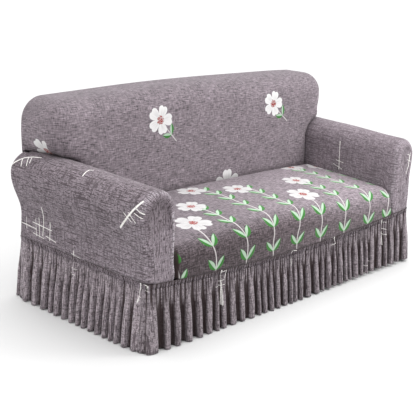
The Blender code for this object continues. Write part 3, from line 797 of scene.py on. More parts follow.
def make_arm_facing(side, word, material):
    """Front panel of an arm, inside the rounded edge of the wrap."""
    inset = EDGE_ROUND + LIP + GAP
    inner = [row for row in section_rows() if row[0] == "inner"]
    inner += [("roll", share) for share in steps(0.0, 0.5, ROLL_STEPS // 2)]
    outer = [("outer", 1.0 - share) for _, share in inner[:WALL_STEPS]]
    outer += [("roll", 1.0 - share) for _, share in inner[WALL_STEPS:]]

    def place(column, row):
        start = arm_point(*inner[row], -HALF_DEPTH, inset)
        end = arm_point(*outer[row], -HALF_DEPTH, inset)
        if inner[row][0] == "inner":
            start.x -= rim_bulge(side, start.y, start.z)
        point = start.lerp(end, column / FACING_ACROSS)
        if row == 0:
            point.z = seam_z(point.x) + GAP
        point.x -= roll_draw(side, *point)
        # painted shade under the roll and along a crease, and a painted highlight at the panel's
        # outer front corner
        across = column / FACING_ACROSS
        strength = 0.26 if side < 0 else 0.06
        under_roll_shade = strength * smooth((point.z - 0.43) / 0.11) * smooth((across + 0.35) / 0.4)
        corner = 0.20 * math.exp(-((across - 0.95) / 0.05) ** 2) * smooth((0.44 - point.z) / 0.05)
        fold_z = 0.462 + 0.050 * (1 - across)
        fold = 0.20 * math.exp(-((point.z - fold_z) / 0.010) ** 2) * smooth((across - 0.2) * 3)
        return (Vector((point.x * side, point.y, point.z)), (point.x * side, point.z),
                under_roll_shade + fold - corner)

    patch = (FACING_ACROSS, len(inner) - 1, place)
    return make_sheet(f"arm_facing_{word}_cloth", [patch], material, turned=side < 0,
                      relief=facing_dents(side), reach=0.010)


# ---------------------------------------------------------------- seat
def seat_profile():
    """Stations of the seat from the backrest forwards and down its front.

    Each is (y, z above the seat's line, normal y, normal z, share down the front drop,
    distance from the backrest over the cloth)."""
    stations = []
    for turn in quarter_turn(ROUND_STEPS):
        y = SEAT_REAR_Y - GAP - SEAT_CURL * (1 - math.cos(turn))
        stations.append((y, -SEAT_CURL * (1 - math.sin(turn)), math.cos(turn), math.sin(turn),
                         0.0, SEAT_CURL * (turn - math.pi / 2 + 1)))
    rear = stations[-1][0]
    for y in steps(rear, SEAT_NOSE - HALF_DEPTH, SEAT_DEEP)[1:]:
        stations.append((y, 0.0, 0.0, 1.0, 0.0, SEAT_REAR_Y - y))
    start = stations[-1][5]
    for turn in quarter_turn(NOSE_STEPS)[1:]:
        stations.append((SEAT_NOSE * (1 - math.sin(turn)) - HALF_DEPTH,
                         -SEAT_NOSE * (1 - math.cos(turn)), -math.sin(turn), math.cos(turn),
                         0.0, start + SEAT_NOSE * turn))
    for share in steps(0.0, 1.0, DROP_STEPS)[1:]:
        stations.append((-HALF_DEPTH, -SEAT_NOSE, -1.0, 0.0, share, stations[-1][5]))
    return stations


def seat_columns():
    """Places across the seat as (x, how far the edge is drawn in)."""
    edge = [(INNER_X - GAP - EDGE_ROUND * (1 - math.cos(turn)), EDGE_ROUND * (1 - math.sin(turn)))
            for turn in quarter_turn(ROUND_STEPS)]
    middle = [(x, 0.0) for x in steps(-edge[-1][0], edge[-1][0], SEAT_ACROSS)]
    left = [(-x, inset) for x, inset in edge[:-1]]
    right = [(x, inset) for x, inset in reversed(edge[:-1])]
    return left + middle + right


def seat_relief(place):
    """Slack of the seat's cloth."""
    x, y, _ = place
    slack = SEAT_SLACK * ripple(x * 3.1, y * 3.3, 7.0)
    pull = SEAT_PULL * ripple(x * 16 + y * 6, y * 7, 3.0)
    return slack + pull


def make_seat(material):
    """Deck of the seat with its front drop, one piece down to the seam."""
    profile = seat_profile()
    columns = seat_columns()

    def place(column, row):
        x, inset = columns[column]
        y, fall, normal_y, normal_z, drop, way = profile[row]
        low = seat_height(y) + seat_lift(x, y) + fall
        z = mix(low, seam_z(x) + GAP, drop)
        edge_share = 1.0 if x < 0 else 0.15
        from_rear = mix(SEAM_SHARE, 1.0, min(1.0, row / (ROUND_STEPS + 1)))
        fade = mix(1.0, edge_share, drop) * from_rear
        point = Vector((x, y - inset * fade * normal_y, z - inset * fade * normal_z))
        # painted shade in the gaps beside the arms, strongest down the left front, and where the
        # seat tucks in under the backrest
        down_front = smooth((way - 0.48) / 0.07)
        reach = 0.022 + 0.30 * max(0.0, 0.555 - way) if x < 0 else 0.014
        beside = smooth((abs(x) - INNER_X + reach) / 0.006)
        beside *= mix(0.20, 1.0, down_front) if x < 0 else mix(0.10, 0.30, down_front)
        behind = 0.8 * smooth((0.020 - way) / 0.016)
        return point, (x, way + low - z), max(beside, behind)

    patch = (len(columns) - 1, len(profile) - 1, place)
    return make_sheet("seat_cloth", [patch], material, turned=True, relief=seat_relief)


# ---------------------------------------------------------------- backrest
def wing_x():
    """Where the rounding of the backrest's ends starts: over the arms' inner shoulder."""
    centre_x, _, half, _ = arm_roll(SEAT_REAR_Y + BACK_LEAN_FRONT)
    return centre_x + (half + CLEARANCE) * math.cos(math.pi * CUT_SHARE)


def rear_round():
    """Rounding of the backrest's rear edge, so that its seam meets the arm's rear seam."""
    arm_edge = arm_point("roll", CUT_SHARE, HALF_DEPTH, EDGE_ROUND + LIP).x
    return wing_x() + BACK_ROUND - LIP - arm_edge


def rim_stations():
    """The backrest's edge from its front face to the rear seam.

    Each is (outwards, depth kind, depth, normal outwards, normal to the rear)."""
    stations = [(BACK_ROUND * math.sin(turn), "front", BACK_ROUND * (1 - math.cos(turn)),
                 math.sin(turn), -math.cos(turn)) for turn in quarter_turn(2 * ROUND_STEPS)]
    round_rear = rear_round()
    for turn in quarter_turn(ROUND_STEPS):
        stations.append((BACK_ROUND - round_rear * (1 - math.cos(turn)), "rear",
                         round_rear * (1 - math.sin(turn)), math.cos(turn), math.sin(turn)))
    stations.append((BACK_ROUND - round_rear - LIP, "rear", 0.0, 0.0, 1.0))
    return stations


def shoulder_columns():
    """Places over the arm's inner shoulder, from its inner side outwards."""
    centre_x, _, half, _ = arm_roll(SEAT_REAR_Y + BACK_LEAN_FRONT)
    count = round(ROLL_STEPS * (1 - CUT_SHARE))
    turns = [math.pi * (1 - number / ROLL_STEPS) for number in range(count + 1)]
    return [centre_x + (half + CLEARANCE) * math.cos(turn) for turn in turns]


def corner_z(x):
    """Height at which the rounding of the backrest's top starts."""
    crown = BACK_CROWN * (x / (wing_x() + BACK_ROUND)) ** 2
    return BACK_HEIGHT - BACK_ROUND - crown


def beside_roll(x, z):
    """Distance of a place on the backrest from the arm's roll."""
    centre_x, centre_z, half, _ = arm_roll(SEAT_REAR_Y)
    up = max(0.0, z - centre_z) * half / ROLL_RISE
    return math.hypot(abs(x) - centre_x, up) - half


def crevice(x, z):
    """How far the backrest is drawn in beside the arm."""
    apart = beside_roll(x, z)
    depth, width = GROOVE
    return (CREVICE_DEPTH * max(0.0, 1 - apart / CREVICE_WIDTH) ** 2
            + depth * math.exp(-(apart / width) ** 2))


def crevice_shade(x, z):
    """Painted shade where the backrest meets an arm or the seat: 1 there, and 0 further away."""
    apart = max(0.0, beside_roll(x, z))
    over_seat = max(0.0, z - SEAT_REAR_HEIGHT - seat_lift(x, SEAT_REAR_Y))
    beside_arm = max(math.exp(-(apart / 0.009) ** 4), 0.30 * math.exp(-(apart / 0.030) ** 2))
    if x < 0:
        beside_arm *= 0.6
    return max(beside_arm, 0.35 * math.exp(-(over_seat / 0.016) ** 2))


def drawn_in(point):
    """Moves the right end of the backrest inwards, above the arm."""
    share = smooth((point.x - 0.66) / 0.14) * smooth((point.z - 0.655) / 0.06)
    point.x -= RIGHT_END_DRAW * share
    return point


def back_face_point(x, z):
    """Point of the backrest's front face."""
    return Vector((x, back_front_y(z) + crevice(x, z), z))


def rim_point(rim, x_start, z_start, angle):
    """Point on the backrest's edge, which runs outwards at an angle from a start."""
    out, kind, depth, _, _ = rim
    x = x_start + out * math.cos(angle)
    z = z_start + out * math.sin(angle)
    y = back_front_y(z) + depth if kind == "front" else rear_y(z) - depth
    return Vector((x, y, z))


def end_point(station, share, fade, tuck):
    """Point of the backrest's right end, between the arm under it and its corner. Near the
    arm it is drawn in: by the crevice's share fade, and by tuck of END_TUCK."""
    start = corner_z(wing_x())
    x, y, _ = rim_point(station, wing_x(), start, 0.0)
    foot = arm_top_z(x, y)
    z = mix(foot, start, share)
    depth, height = END_TUCK
    inset = crevice(x, z) * fade + tuck * depth * max(0.0, 1 - (z - foot) / height) ** 2
    lean = back_front_y if station[1] == "front" else rear_y
    x -= inset * station[3]
    y += lean(z) - lean(start) - inset * station[4]
    return Vector((x, y, mix(arm_top_z(x, y), start, share)))


def rim_columns(top):
    """Places round the backrest's edge: up one end, round its corner, over the top, and
    down the other end. Each is (stretch, share of the stretch or x, side)."""
    rise = [("end", share ** RISE_EASE) for share in steps(0.0, 1.0, RISE_STEPS)[:-1]]
    rise += [("corner", share) for share in steps(0.0, 1.0, CORNER_STEPS)[:-1]]
    left = [(stretch, share, -1) for stretch, share in rise]
    over = [("top", x, 1) for x in top]
    right = [(stretch, share, 1) for stretch, share in reversed(rise)]
    return left + over + right


def back_relief(place):
    """Slack of the backrest's cloth, drawn towards the crevices beside the arms."""
    x, _, z = place
    slack = BACK_SLACK * ripple(x * 2.7, z * 4.1, 2.0)
    near = max(0.0, 1 - abs(abs(x) - 0.70) / 0.22) * smooth((0.72 - z) / 0.20)
    pull = BACK_PULL * near * ripple(x * 7 + z * 15, z * 6 - x * 2, 5.0)
    return slack + pull


def make_back_front(material):
    """Front of the backrest, carried over its top and round its ends to the rear seam."""
    rim = rim_stations()
    rim_way = along([rim_point(station, wing_x(), corner_z(0.0), 0.0) for station in rim])
    shoulder = shoulder_columns()
    crease = [shoulder[0] - apart for apart in CREASE_COLUMNS]
    middle = [-x for x in crease] + steps(-crease[-1], crease[-1], BACK_ACROSS)[1:-1]
    middle += list(reversed(crease))
    columns = [-x for x in reversed(shoulder[1:])] + middle + shoulder[1:]
    around = rim_columns(columns)
    centre_z = arm_roll(SEAT_REAR_Y)[1]
    low_rows = steps(SEAT_REAR_HEIGHT - TUCK, centre_z, BACK_ROWS)
    start = corner_z(wing_x())
    front_rows = 2 * ROUND_STEPS + 1

    def place_lower(column, row):
        x, z = middle[column], low_rows[row]
        return back_face_point(x, z), (x, z), crevice_shade(x, z)

    def place_upper(column, row):
        x = columns[column]
        over_arm = abs(x) > shoulder[0] + GAP
        foot = arm_top_z(abs(x), SEAT_REAR_Y + BACK_LEAN_FRONT) if over_arm else centre_z
        z = mix(foot, corner_z(x), (row / RISE_STEPS) ** RISE_EASE)
        return drawn_in(back_face_point(x, z)), (x, z), crevice_shade(x, z)

    def place_rim(column, row):
        stretch, share, side = around[column]
        way = rim_way[row]
        if stretch == "top":
            _, y, z = rim_point(rim[row], share, corner_z(share), math.pi / 2)
            return drawn_in(Vector((share, y, z))), (share, corner_z(share) + way)
        if stretch == "corner":
            angle = share * math.pi / 2
            x, y, z = rim_point(rim[row], wing_x(), start, angle)
            flat = (side * (wing_x() + way * math.cos(angle)), start + way * math.sin(angle))
            return drawn_in(Vector((side * x, y, z))), flat
        foot = arm_top_z(wing_x(), SEAT_REAR_Y + BACK_LEAN_FRONT)
        if row == 0:
            x, y, z = back_face_point(wing_x(), mix(foot, start, share))
        else:
            tuck = smooth(row / END_TUCK_ROWS)
            if row >= front_rows:
                tuck = 0.3 * (1 - smooth((row - front_rows) / ROUND_STEPS))
            x, y, z = end_point(rim[row], share, max(0.0, 1 - row / (len(rim) - 2)), tuck)
        # painted shade at the foot of the backrest's end, where it meets the arm
        shade = 0.15 * math.exp(-(share * (start - foot) / 0.008) ** 2)
        return drawn_in(Vector((side * x, y, z))), (side * (wing_x() + way), z), shade

    patches = [
        (len(middle) - 1, BACK_ROWS, place_lower),
        (len(columns) - 1, RISE_STEPS, place_upper),
        (len(around) - 1, len(rim) - 1, place_rim),
    ]
    return make_sheet("back_front_cloth", patches, material, relief=back_relief)


def make_back_rear(material):
    """Plain rear panel from the skirt seam to the top of the backrest."""
    rim = rim_stations()[-1]
    start = corner_z(wing_x())
    ends = []
    cut_row = WALL_STEPS + round(ROLL_STEPS * CUT_SHARE)
    for row in reversed(section_rows()[cut_row:]):
        point = arm_point(*row, HALF_DEPTH, EDGE_ROUND + LIP + GAP)
        ends.append((point.x, point.z))
    reach = wing_x() + rim[0] - GAP
    ends += [(reach, z) for z in steps(arm_top_z(reach, HALF_DEPTH), start, RISE_STEPS)]
    ends += [(wing_x() + (rim[0] - GAP) * math.cos(turn), start + (rim[0] - GAP) * math.sin(turn))
             for turn in quarter_turn(CORNER_STEPS)[1:]]

    def place(column, row):
        x, z = ends[row]
        x *= 2 * column / BACK_ACROSS - 1
        if row == len(ends) - 1:
            z += corner_z(x) - start
        return drawn_in(Vector((x, rear_y(z), z))), (x, z)

    patch = (BACK_ACROSS, len(ends) - 1, place)
    return make_sheet("back_rear_cloth", [patch], material, turned=True,
                      relief=lambda place: REAR_SLACK * ripple(place.x * 3, place.z * 3, 9.0))


# ---------------------------------------------------------------- heading and skirt
def side_path(name):
    """One side of the rounded outline: function of the distance, and its length.

    The front and back take both corners with them, and a lip past each; the left and right
    sides are straight. The function gives the point and the outward direction in plan."""
    straight_x = SEAM_WIDTH - 2 * EDGE_ROUND
    straight_y = SEAM_DEPTH - 2 * EDGE_ROUND
    arc = EDGE_ROUND * math.pi / 2

    def corner(cx, cy, angle):
        out = Vector((math.cos(angle), math.sin(angle), 0.0))
        return Vector((cx, cy, 0.0)) + EDGE_ROUND * out, out

    def long_side(distance, spin):
        """Front for spin 1, back for spin -1."""
        if distance < arc:
            angle = math.pi + max(0.0, distance) / EDGE_ROUND
            point, out = corner(-straight_x / 2, -straight_y / 2, angle)
            point.y -= min(0.0, distance)
        elif distance > arc + straight_x:
            past = distance - arc - straight_x
            point, out = corner(straight_x / 2, -straight_y / 2,
                                min(past, arc) / EDGE_ROUND - math.pi / 2)
            point.y += max(0.0, past - arc)
        else:
            point = Vector((distance - arc - straight_x / 2, -HALF_DEPTH, 0.0))
            out = Vector((0.0, -1.0, 0.0))
        return point * spin, out * spin

    if name in ("front", "back"):
        spin = 1.0 if name == "front" else -1.0
        return (lambda distance: long_side(distance, spin)), straight_x + 2 * arc, -LIP
    sign = 1 if name == "right" else -1

    def short_side(distance):
        y = -straight_y / 2 + distance
        return Vector((sign * HALF_WIDTH, sign * y, 0.0)), Vector((sign, 0.0, 0.0))

    return short_side, straight_y, LIP


def top_edge(name, point):
    """Height of the seam over a point of one side."""
    return seam_z(point.x) if name == "front" else SEAM_HEIGHT


def skirt_folds(folds, seed, length, margin):
    """The folds of a side as (start, width, depth, chance value)."""
    draw = random.Random(seed)
    widths = [draw.uniform(*FOLD_WIDTHS) for _ in range(folds)]
    depths = [draw.uniform(*FOLD_DEPTHS) for _ in range(folds)]
    if margin < 0:
        widths[0] = widths[-1] = CORNER_FOLD
    deepest = max(depths)
    start = margin + SKIRT_GAP / 2
    scale = (length - 2 * start) / sum(widths)
    made = []
    for width, depth in zip(widths, depths):
        made.append((start, width * scale, depth / deepest, draw.random()))
        start += width * scale
    return made


def fold_depth(made, number, share):
    """Depth share across a fold, eased into its neighbours in the valleys."""
    own = made[number][2]
    beside = made[max(0, number - 1)] if share < 0.5 else made[min(len(made) - 1, number + 1)]
    between = (own + beside[2]) / 2
    return mix(between, own, smooth(1 - abs(2 * share - 1)))


def gathers(name):
    """Function that gives, at a column across one side and a fall from 0 under the heading
    to 1 at the hem, (distance along the side, reach outwards, how deep in a fold), and the
    number of columns."""
    settings = bpy.context.scene.slipcover_folds
    folds, seed = next(side[1:] for side in FOLD_SIDES if side[0] == name)
    _, length, margin = side_path(name)
    made = skirt_folds(folds, seed, length, margin)
    first_place, end_place = made[0][0], made[-1][0] + made[-1][1]

    def shape(column, fall):
        number = min(column // FOLD_STEPS, len(made) - 1)
        share = column / FOLD_STEPS - number
        start, width, _, chance = made[number]
        flat_place = start + width * share
        ends = smooth((flat_place - first_place) / 0.02) * smooth((end_place - flat_place) / 0.02)
        turn = math.tau * share
        tight = mix(0.12, settings.undercut * mix(0.92, 1.06, chance), smooth(fall * 1.8))
        across = share + tight / (2 * math.tau) * math.sin(2 * turn)
        across += settings.valley / math.tau * math.sin(turn)
        bulge = (1 - math.cos(turn)) / 2
        bulge = mix(bulge, 1.0, CORNER_FILL * (1 - ends))
        if chance > DENT_CHANCE:
            bulge -= DENT_DEPTH * math.exp(-((share - 0.5) / 0.09) ** 2) * (1 - fall * 0.5)
        stray = settings.wander * ripple(start * 9 + share * 0.6, fall * 1.7, seed) * fall * ends
        depth = fold_depth(made, number, share)
        fold = mix(settings.top_depth, settings.hem_depth * depth, smooth(fall * 1.5))
        reach = SKIRT_FLARE * fall + fold * (bulge - FOLD_SET)
        pleat = -math.cos(settings.pleats * turn + 1.1 * math.sin(turn + 6 * chance))
        pinch = (0.5 - 0.5 * pleat) ** 1.4
        length_here = 0.5 + 0.5 * ripple(flat_place * 75, seed)
        merge = 1 - smooth(fall / mix(0.18, 0.85, length_here))
        reach -= settings.pleat_depth * merge * pinch * ends
        raised = mix(bulge, 1.0 - pinch, merge * 0.94)
        # how much painted shade the cloth gets, by its depth in a fold, less at the side's ends
        hollow = (1.0 - raised) * mix(0.35, 1.0, ends)
        return start + width * across + stray, reach, hollow

    return shape, len(made) * FOLD_STEPS


def make_heading(name, material):
    """Narrow gathered band along one side: a fine ridge under the seam, and puckers that
    run down into the skirt's pleats."""
    path = side_path(name)[0]
    shape, count = gathers(name)
    number = ("front", "right", "back", "left").index(name)

    def place(column, row):
        distance, low_reach, hollow = shape(column, 0.0)
        point, out = path(distance)
        up = row / HEADING_ROWS
        z = top_edge(name, point) - GAP - (HEADING_HEIGHT - GAP) * (1 - up)
        rib = math.sin(math.tau * (distance / RIB_PITCH + 0.9 * ripple(distance * 70, number)))
        rib *= RIB_DEPTH * (1 + ripple(distance * 40, 4.0 + number)) * math.sin(math.pi * up)
        ridge = RIDGE_DEPTH * math.exp(-((up - 0.86) / 0.11) ** 2) * min(1.0, (1 - up) * 12)
        groove = GROOVE_DEPTH * math.exp(-((up - 0.64) / 0.10) ** 2)
        out_by = mix(low_reach, HEADING_STEP, smooth(up * 1.35)) + rib + ridge + groove
        # painted shade: that of the folds, more up towards the seam, and most in a line along it
        deep = mix(hollow, 0.34 + 0.66 * hollow, up) + 0.30 * math.exp(-((up - 0.97) / 0.06) ** 2)
        return Vector((point.x, point.y, z)) + out_by * out, (distance, z), min(1.0, deep)

    patch = (count, HEADING_ROWS, place)
    return make_sheet(f"heading_{name}_cloth", [patch], material, thickness=HEADING_CLOTH)


def make_skirt(name, material):
    """Gathered skirt of one side, from the heading to the floor; also gives its width when
    it is spread out flat."""
    path = side_path(name)[0]
    shape, last = gathers(name)
    low_line = [Vector((*shape(column, SPREAD_FALL)[:2], 0.0)) for column in range(last + 1)]
    spread = along(low_line)

    def place(column, row):
        fall = (1 - row / SKIRT_ROWS) ** ROW_EASE
        distance, reach, hollow = shape(column, fall)
        point, out = path(distance)
        top = top_edge(name, point) - HEADING_HEIGHT - SKIRT_GAP
        lift = SKIRT_LIFT * smooth((point.x + 0.10) / 0.70) if name in ("front", "right") else 0.0
        hem = HEM_LIFT + lift + HEM_WAVE * (1 + ripple(distance * 31, last, 1.0))
        z = mix(top, hem, fall)
        return Vector((point.x, point.y, z)) + reach * out, (spread[column], z), hollow

    patch = (last, SKIRT_ROWS, place)
    return make_sheet(f"skirt_{name}_cloth", [patch], material), spread[-1]


# ---------------------------------------------------------------- nodes
def wire(tree, socket, value):
    """Joins a socket to another one, or sets its value."""
    if isinstance(value, bpy.types.NodeSocket):
        tree.links.new(value, socket)
    else:
        socket.default_value = value


def put(tree, kind, settings, values):
    """Adds a node; settings are its own, values go to its input sockets by name or number."""
    made = tree.nodes.new(kind)
    made.location = (220 * (len(tree.nodes) % 12), -180 * (len(tree.nodes) // 12))
    for name, value in settings.items():
        setattr(made, name, value)
    for name, value in values.items():
        wire(tree, made.inputs[name], value)
    return made


def calc(tree, operation, *values, clamp=False):
    """Result of a Math node."""
    settings = {"operation": operation, "use_clamp": clamp}
    return put(tree, "ShaderNodeMath", settings, dict(enumerate(values))).outputs[0]


def vector_calc(tree, operation, *values):
    """Result of a Vector Math node, a vector or a number."""
    made = put(tree, "ShaderNodeVectorMath", {"operation": operation}, {})
    sockets = [socket for socket in made.inputs if socket.enabled]
    for socket, value in zip(sockets, values):
        wire(tree, socket, value)
    return next(socket for socket in made.outputs if socket.enabled)


def ramp(tree, value, low, high, start=0.0, end=1.0, soft=True):
    """Value carried from low..high to start..end and kept inside it."""
    kind = "SMOOTHSTEP" if soft else "LINEAR"
    values = {"Value": value, "From Min": low, "From Max": high, "To Min": start, "To Max": end}
    return put(tree, "ShaderNodeMapRange", {"interpolation_type": kind}, values).outputs[0]


def specks(tree, place, sizes, detail=2.0, rough=0.5):
    """Noise with its own scale each way."""
    scaled = vector_calc(tree, "MULTIPLY", place, sizes)
    values = {"Vector": scaled, "Scale": 1.0, "Detail": detail, "Roughness": rough}
    return put(tree, "ShaderNodeTexNoise", {}, values).outputs["Fac"]


def tint(tree, share, under, over, kind="MIX"):
    """Colour over laid on colour under, where share is 1. kind is how the two are blended."""
    made = put(tree, "ShaderNodeMix", {"data_type": "RGBA", "blend_type": kind},
               {"Factor": share})
    for socket, value in zip([s for s in made.inputs if s.type == "RGBA"], (under, over)):
        wire(tree, socket, value if isinstance(value, bpy.types.NodeSocket) else (*value, 1.0))
    return next(socket for socket in made.outputs if socket.type == "RGBA")


def shaded(tree, share, under, factor):
    """Colour under, multiplied by a factor for each of its parts where share is 1."""
    return tint(tree, share, under, factor, "MULTIPLY")


def split(tree, place):
    """The parts of a vector."""
    return put(tree, "ShaderNodeSeparateXYZ", {}, {0: place}).outputs


def join(tree, x, y, z=0.0):
    """A vector from its parts."""
    return put(tree, "ShaderNodeCombineXYZ", {}, {0: x, 1: y, 2: z}).outputs[0]


NUMBER, VECTOR = "NodeSocketFloat", "NodeSocketVector"
THREAD_INPUTS = (("Place", VECTOR), ("Across", NUMBER), ("Down", NUMBER))


def shared_group(name, inputs, outputs):
    """Turns a function that fills a node group into one that gives the group and makes it
    only once. The first one gets the tree and its inputs, and returns what the outputs get."""
    def wrap(fill):
        def get():
            if name not in bpy.data.node_groups:
                tree = bpy.data.node_groups.new(name, "ShaderNodeTree")
                for socket, kind in inputs:
                    tree.interface.new_socket(socket, in_out="INPUT", socket_type=kind)
                for socket in outputs:
                    tree.interface.new_socket(socket, in_out="OUTPUT", socket_type=NUMBER)
                start = tree.nodes.new("NodeGroupInput")
                end = tree.nodes.new("NodeGroupOutput")
                for socket, result in zip(outputs, fill(tree, start.outputs)):
                    wire(tree, end.inputs[socket], result)
            return bpy.data.node_groups[name]
        return get
    return wrap


def use_group(tree, group, values):
    """Places a node group in a material; returns its outputs."""
    return put(tree, "ShaderNodeGroup", {"node_tree": group}, values).outputs


@shared_group("Linen Slub", THREAD_INPUTS, ("Tone", "Height"))
def linen_slub(tree, given):
    """Two-way slub of woven linen: Tone around 0, and the threads' Height. Across and Down
    are how much the threads of each way show."""
    place = given["Place"]
    tone = calc(tree, "SUBTRACT", specks(tree, place, (9.0, 9.0, 1.0), 2.0), 0.5)
    tone = calc(tree, "MULTIPLY", tone, 0.45)
    grain = calc(tree, "SUBTRACT", specks(tree, place, (240.0, 250.0, 1.0), 1.0), 0.5)
    tone = calc(tree, "MULTIPLY_ADD", grain, 0.7, tone)
    patterns = (place, vector_calc(tree, "ADD", place, (2.3, 5.1, 0.0)))
    for way, pattern, sizes in SLUB_THREADS:
        thread = calc(tree, "SUBTRACT", specks(tree, patterns[pattern], sizes, 1.0, 0.6), 0.5)
        tone = calc(tree, "MULTIPLY_ADD", thread, given[way], tone)
    threads_across = specks(tree, place, (90.0, 1100.0, 1.0), 1.0)
    threads_down = specks(tree, place, (1100.0, 90.0, 1.0), 1.0)
    return tone, calc(tree, "ADD", threads_across, threads_down)


@shared_group("Thread Flecks", THREAD_INPUTS, ("Dark", "Pale"))
def thread_flecks(tree, given):
    """Short dark and pale threads, and long dark ones. Across and Down are how much those of
    each way show."""
    marks = [0.0, 0.0]
    for way, long_way in (("Across", 0), ("Down", 1)):
        for kind, (length, breadth, shift, limits) in enumerate(SHORT_THREADS):
            sizes = (length, breadth, 1.0) if long_way == 0 else (breadth, length, 1.0)
            spot = vector_calc(tree, "ADD", given["Place"], shift)
            mark = ramp(tree, specks(tree, spot, sizes, 1.0), *limits)
            mark = calc(tree, "MULTIPLY", mark, given[way])
            marks[kind] = calc(tree, "MAXIMUM", mark, marks[kind])
    dark, pale = marks
    for way, sizes in LONG_THREADS:
        spot = vector_calc(tree, "ADD", given["Place"], (3.0, 9.0, 0.0))
        line = ramp(tree, specks(tree, spot, sizes, 1.0), *LONG_LIMITS)
        line = calc(tree, "MULTIPLY", line, calc(tree, "MULTIPLY", given[way], LONG_SHARE))
        dark = calc(tree, "MAXIMUM", line, dark)
    return dark, pale


@shared_group("Brush Stroke", (("Place", VECTOR), ("Start", VECTOR), ("End", VECTOR),
                               ("Width", NUMBER), ("Before", NUMBER)), ("Mark",))
def brush_stroke(tree, given):
    """One dry brushed line from Start to End, laid over the marks before it."""
    from_start = vector_calc(tree, "SUBTRACT", given["Place"], given["Start"])
    whole = vector_calc(tree, "SUBTRACT", given["End"], given["Start"])
    share = calc(tree, "DIVIDE", vector_calc(tree, "DOT_PRODUCT", from_start, whole),
                 vector_calc(tree, "DOT_PRODUCT", whole, whole), clamp=True)
    scaled = put(tree, "ShaderNodeVectorMath", {"operation": "SCALE"}, {0: whole, "Scale": share})
    apart = vector_calc(tree, "SUBTRACT", from_start, scaled.outputs[0])
    distance = vector_calc(tree, "LENGTH", apart)
    half = calc(tree, "MULTIPLY", given["Width"], 0.5)
    inner = calc(tree, "MULTIPLY", half, 0.55)
    mark = ramp(tree, distance, inner, half, 1.0, 0.0)
    return (calc(tree, "MAXIMUM", mark, given["Before"]),)


FLOWER_INPUTS = (("Place", VECTOR), ("Centre", VECTOR), ("Radius", NUMBER), ("Turn", NUMBER),
                 ("Petals Before", NUMBER), ("Eye Before", NUMBER), ("Shade Before", NUMBER))


@shared_group("Printed Flower", FLOWER_INPUTS, ("Petals", "Eye", "Shade"))
def printed_flower(tree, given):
    """Five round petals with a small notch each, and a sketched centre."""
    local = vector_calc(tree, "SUBTRACT", given["Place"], given["Centre"])
    x, y, _ = split(tree, local)
    distance = vector_calc(tree, "LENGTH", local)
    angle = calc(tree, "ADD", calc(tree, "ARCTAN2", y, x), given["Turn"])
    petal = calc(tree, "FRACT", calc(tree, "MULTIPLY_ADD", angle, 5 / math.tau, 20.0))
    outline = put(tree, "ShaderNodeFloatCurve", {}, {"Value": petal})
    curve = outline.mapping.curves[0]
    curve.points[0].location = (0.0, PETAL_START)
    curve.points[1].location = (1.0, PETAL_START)
    for place in PETAL_OUTLINE:
        curve.points.new(*place)
    outline.mapping.update()
    uneven = calc(tree, "SINE", calc(tree, "MULTIPLY_ADD", angle, 2.0, 0.9))
    size = calc(tree, "MULTIPLY_ADD", uneven, 0.055, 0.96)
    edge = calc(tree, "MULTIPLY", outline.outputs[0], size)
    edge = calc(tree, "MULTIPLY", edge, given["Radius"])
    inside = calc(tree, "SUBTRACT", edge, distance)
    petals = ramp(tree, inside, 0.0, 0.0014)
    streaks = put(tree, "ShaderNodeTexNoise", {"noise_dimensions": "2D"},
                  {"Vector": join(tree, calc(tree, "MULTIPLY", angle, 9.0),
                                  calc(tree, "MULTIPLY", distance, 14.0)),
                   "Scale": 1.0, "Detail": 1.0}).outputs["Fac"]
    depth = ramp(tree, inside, 0.002, 0.035)
    shade = calc(tree, "MULTIPLY", depth, ramp(tree, streaks, 0.38, 0.66))
    sketch = specks(tree, given["Place"], (150.0, 150.0, 1.0), 1.0)
    heart = calc(tree, "MULTIPLY_ADD", sketch, 0.030, 0.006)
    oval = vector_calc(tree, "LENGTH", vector_calc(tree, "MULTIPLY", local, (1.05, 1.15, 1.0)))
    eye_edge = calc(tree, "SUBTRACT", heart, oval)
    bristles = specks(tree, given["Place"], (330.0, 120.0, 1.0), 1.0)
    eye = calc(tree, "MULTIPLY", ramp(tree, eye_edge, 0.0, 0.002), ramp(tree, bristles, 0.42, 0.46))
    free = calc(tree, "SUBTRACT", 1.0, petals)
    kept_eye = calc(tree, "MULTIPLY", given["Eye Before"], free)
    kept_shade = calc(tree, "MULTIPLY", given["Shade Before"], free)
    own_shade = calc(tree, "MULTIPLY", shade, petals)
    return (calc(tree, "MAXIMUM", petals, given["Petals Before"]),
            calc(tree, "MAXIMUM", eye, kept_eye), calc(tree, "MAXIMUM", own_shade, kept_shade))


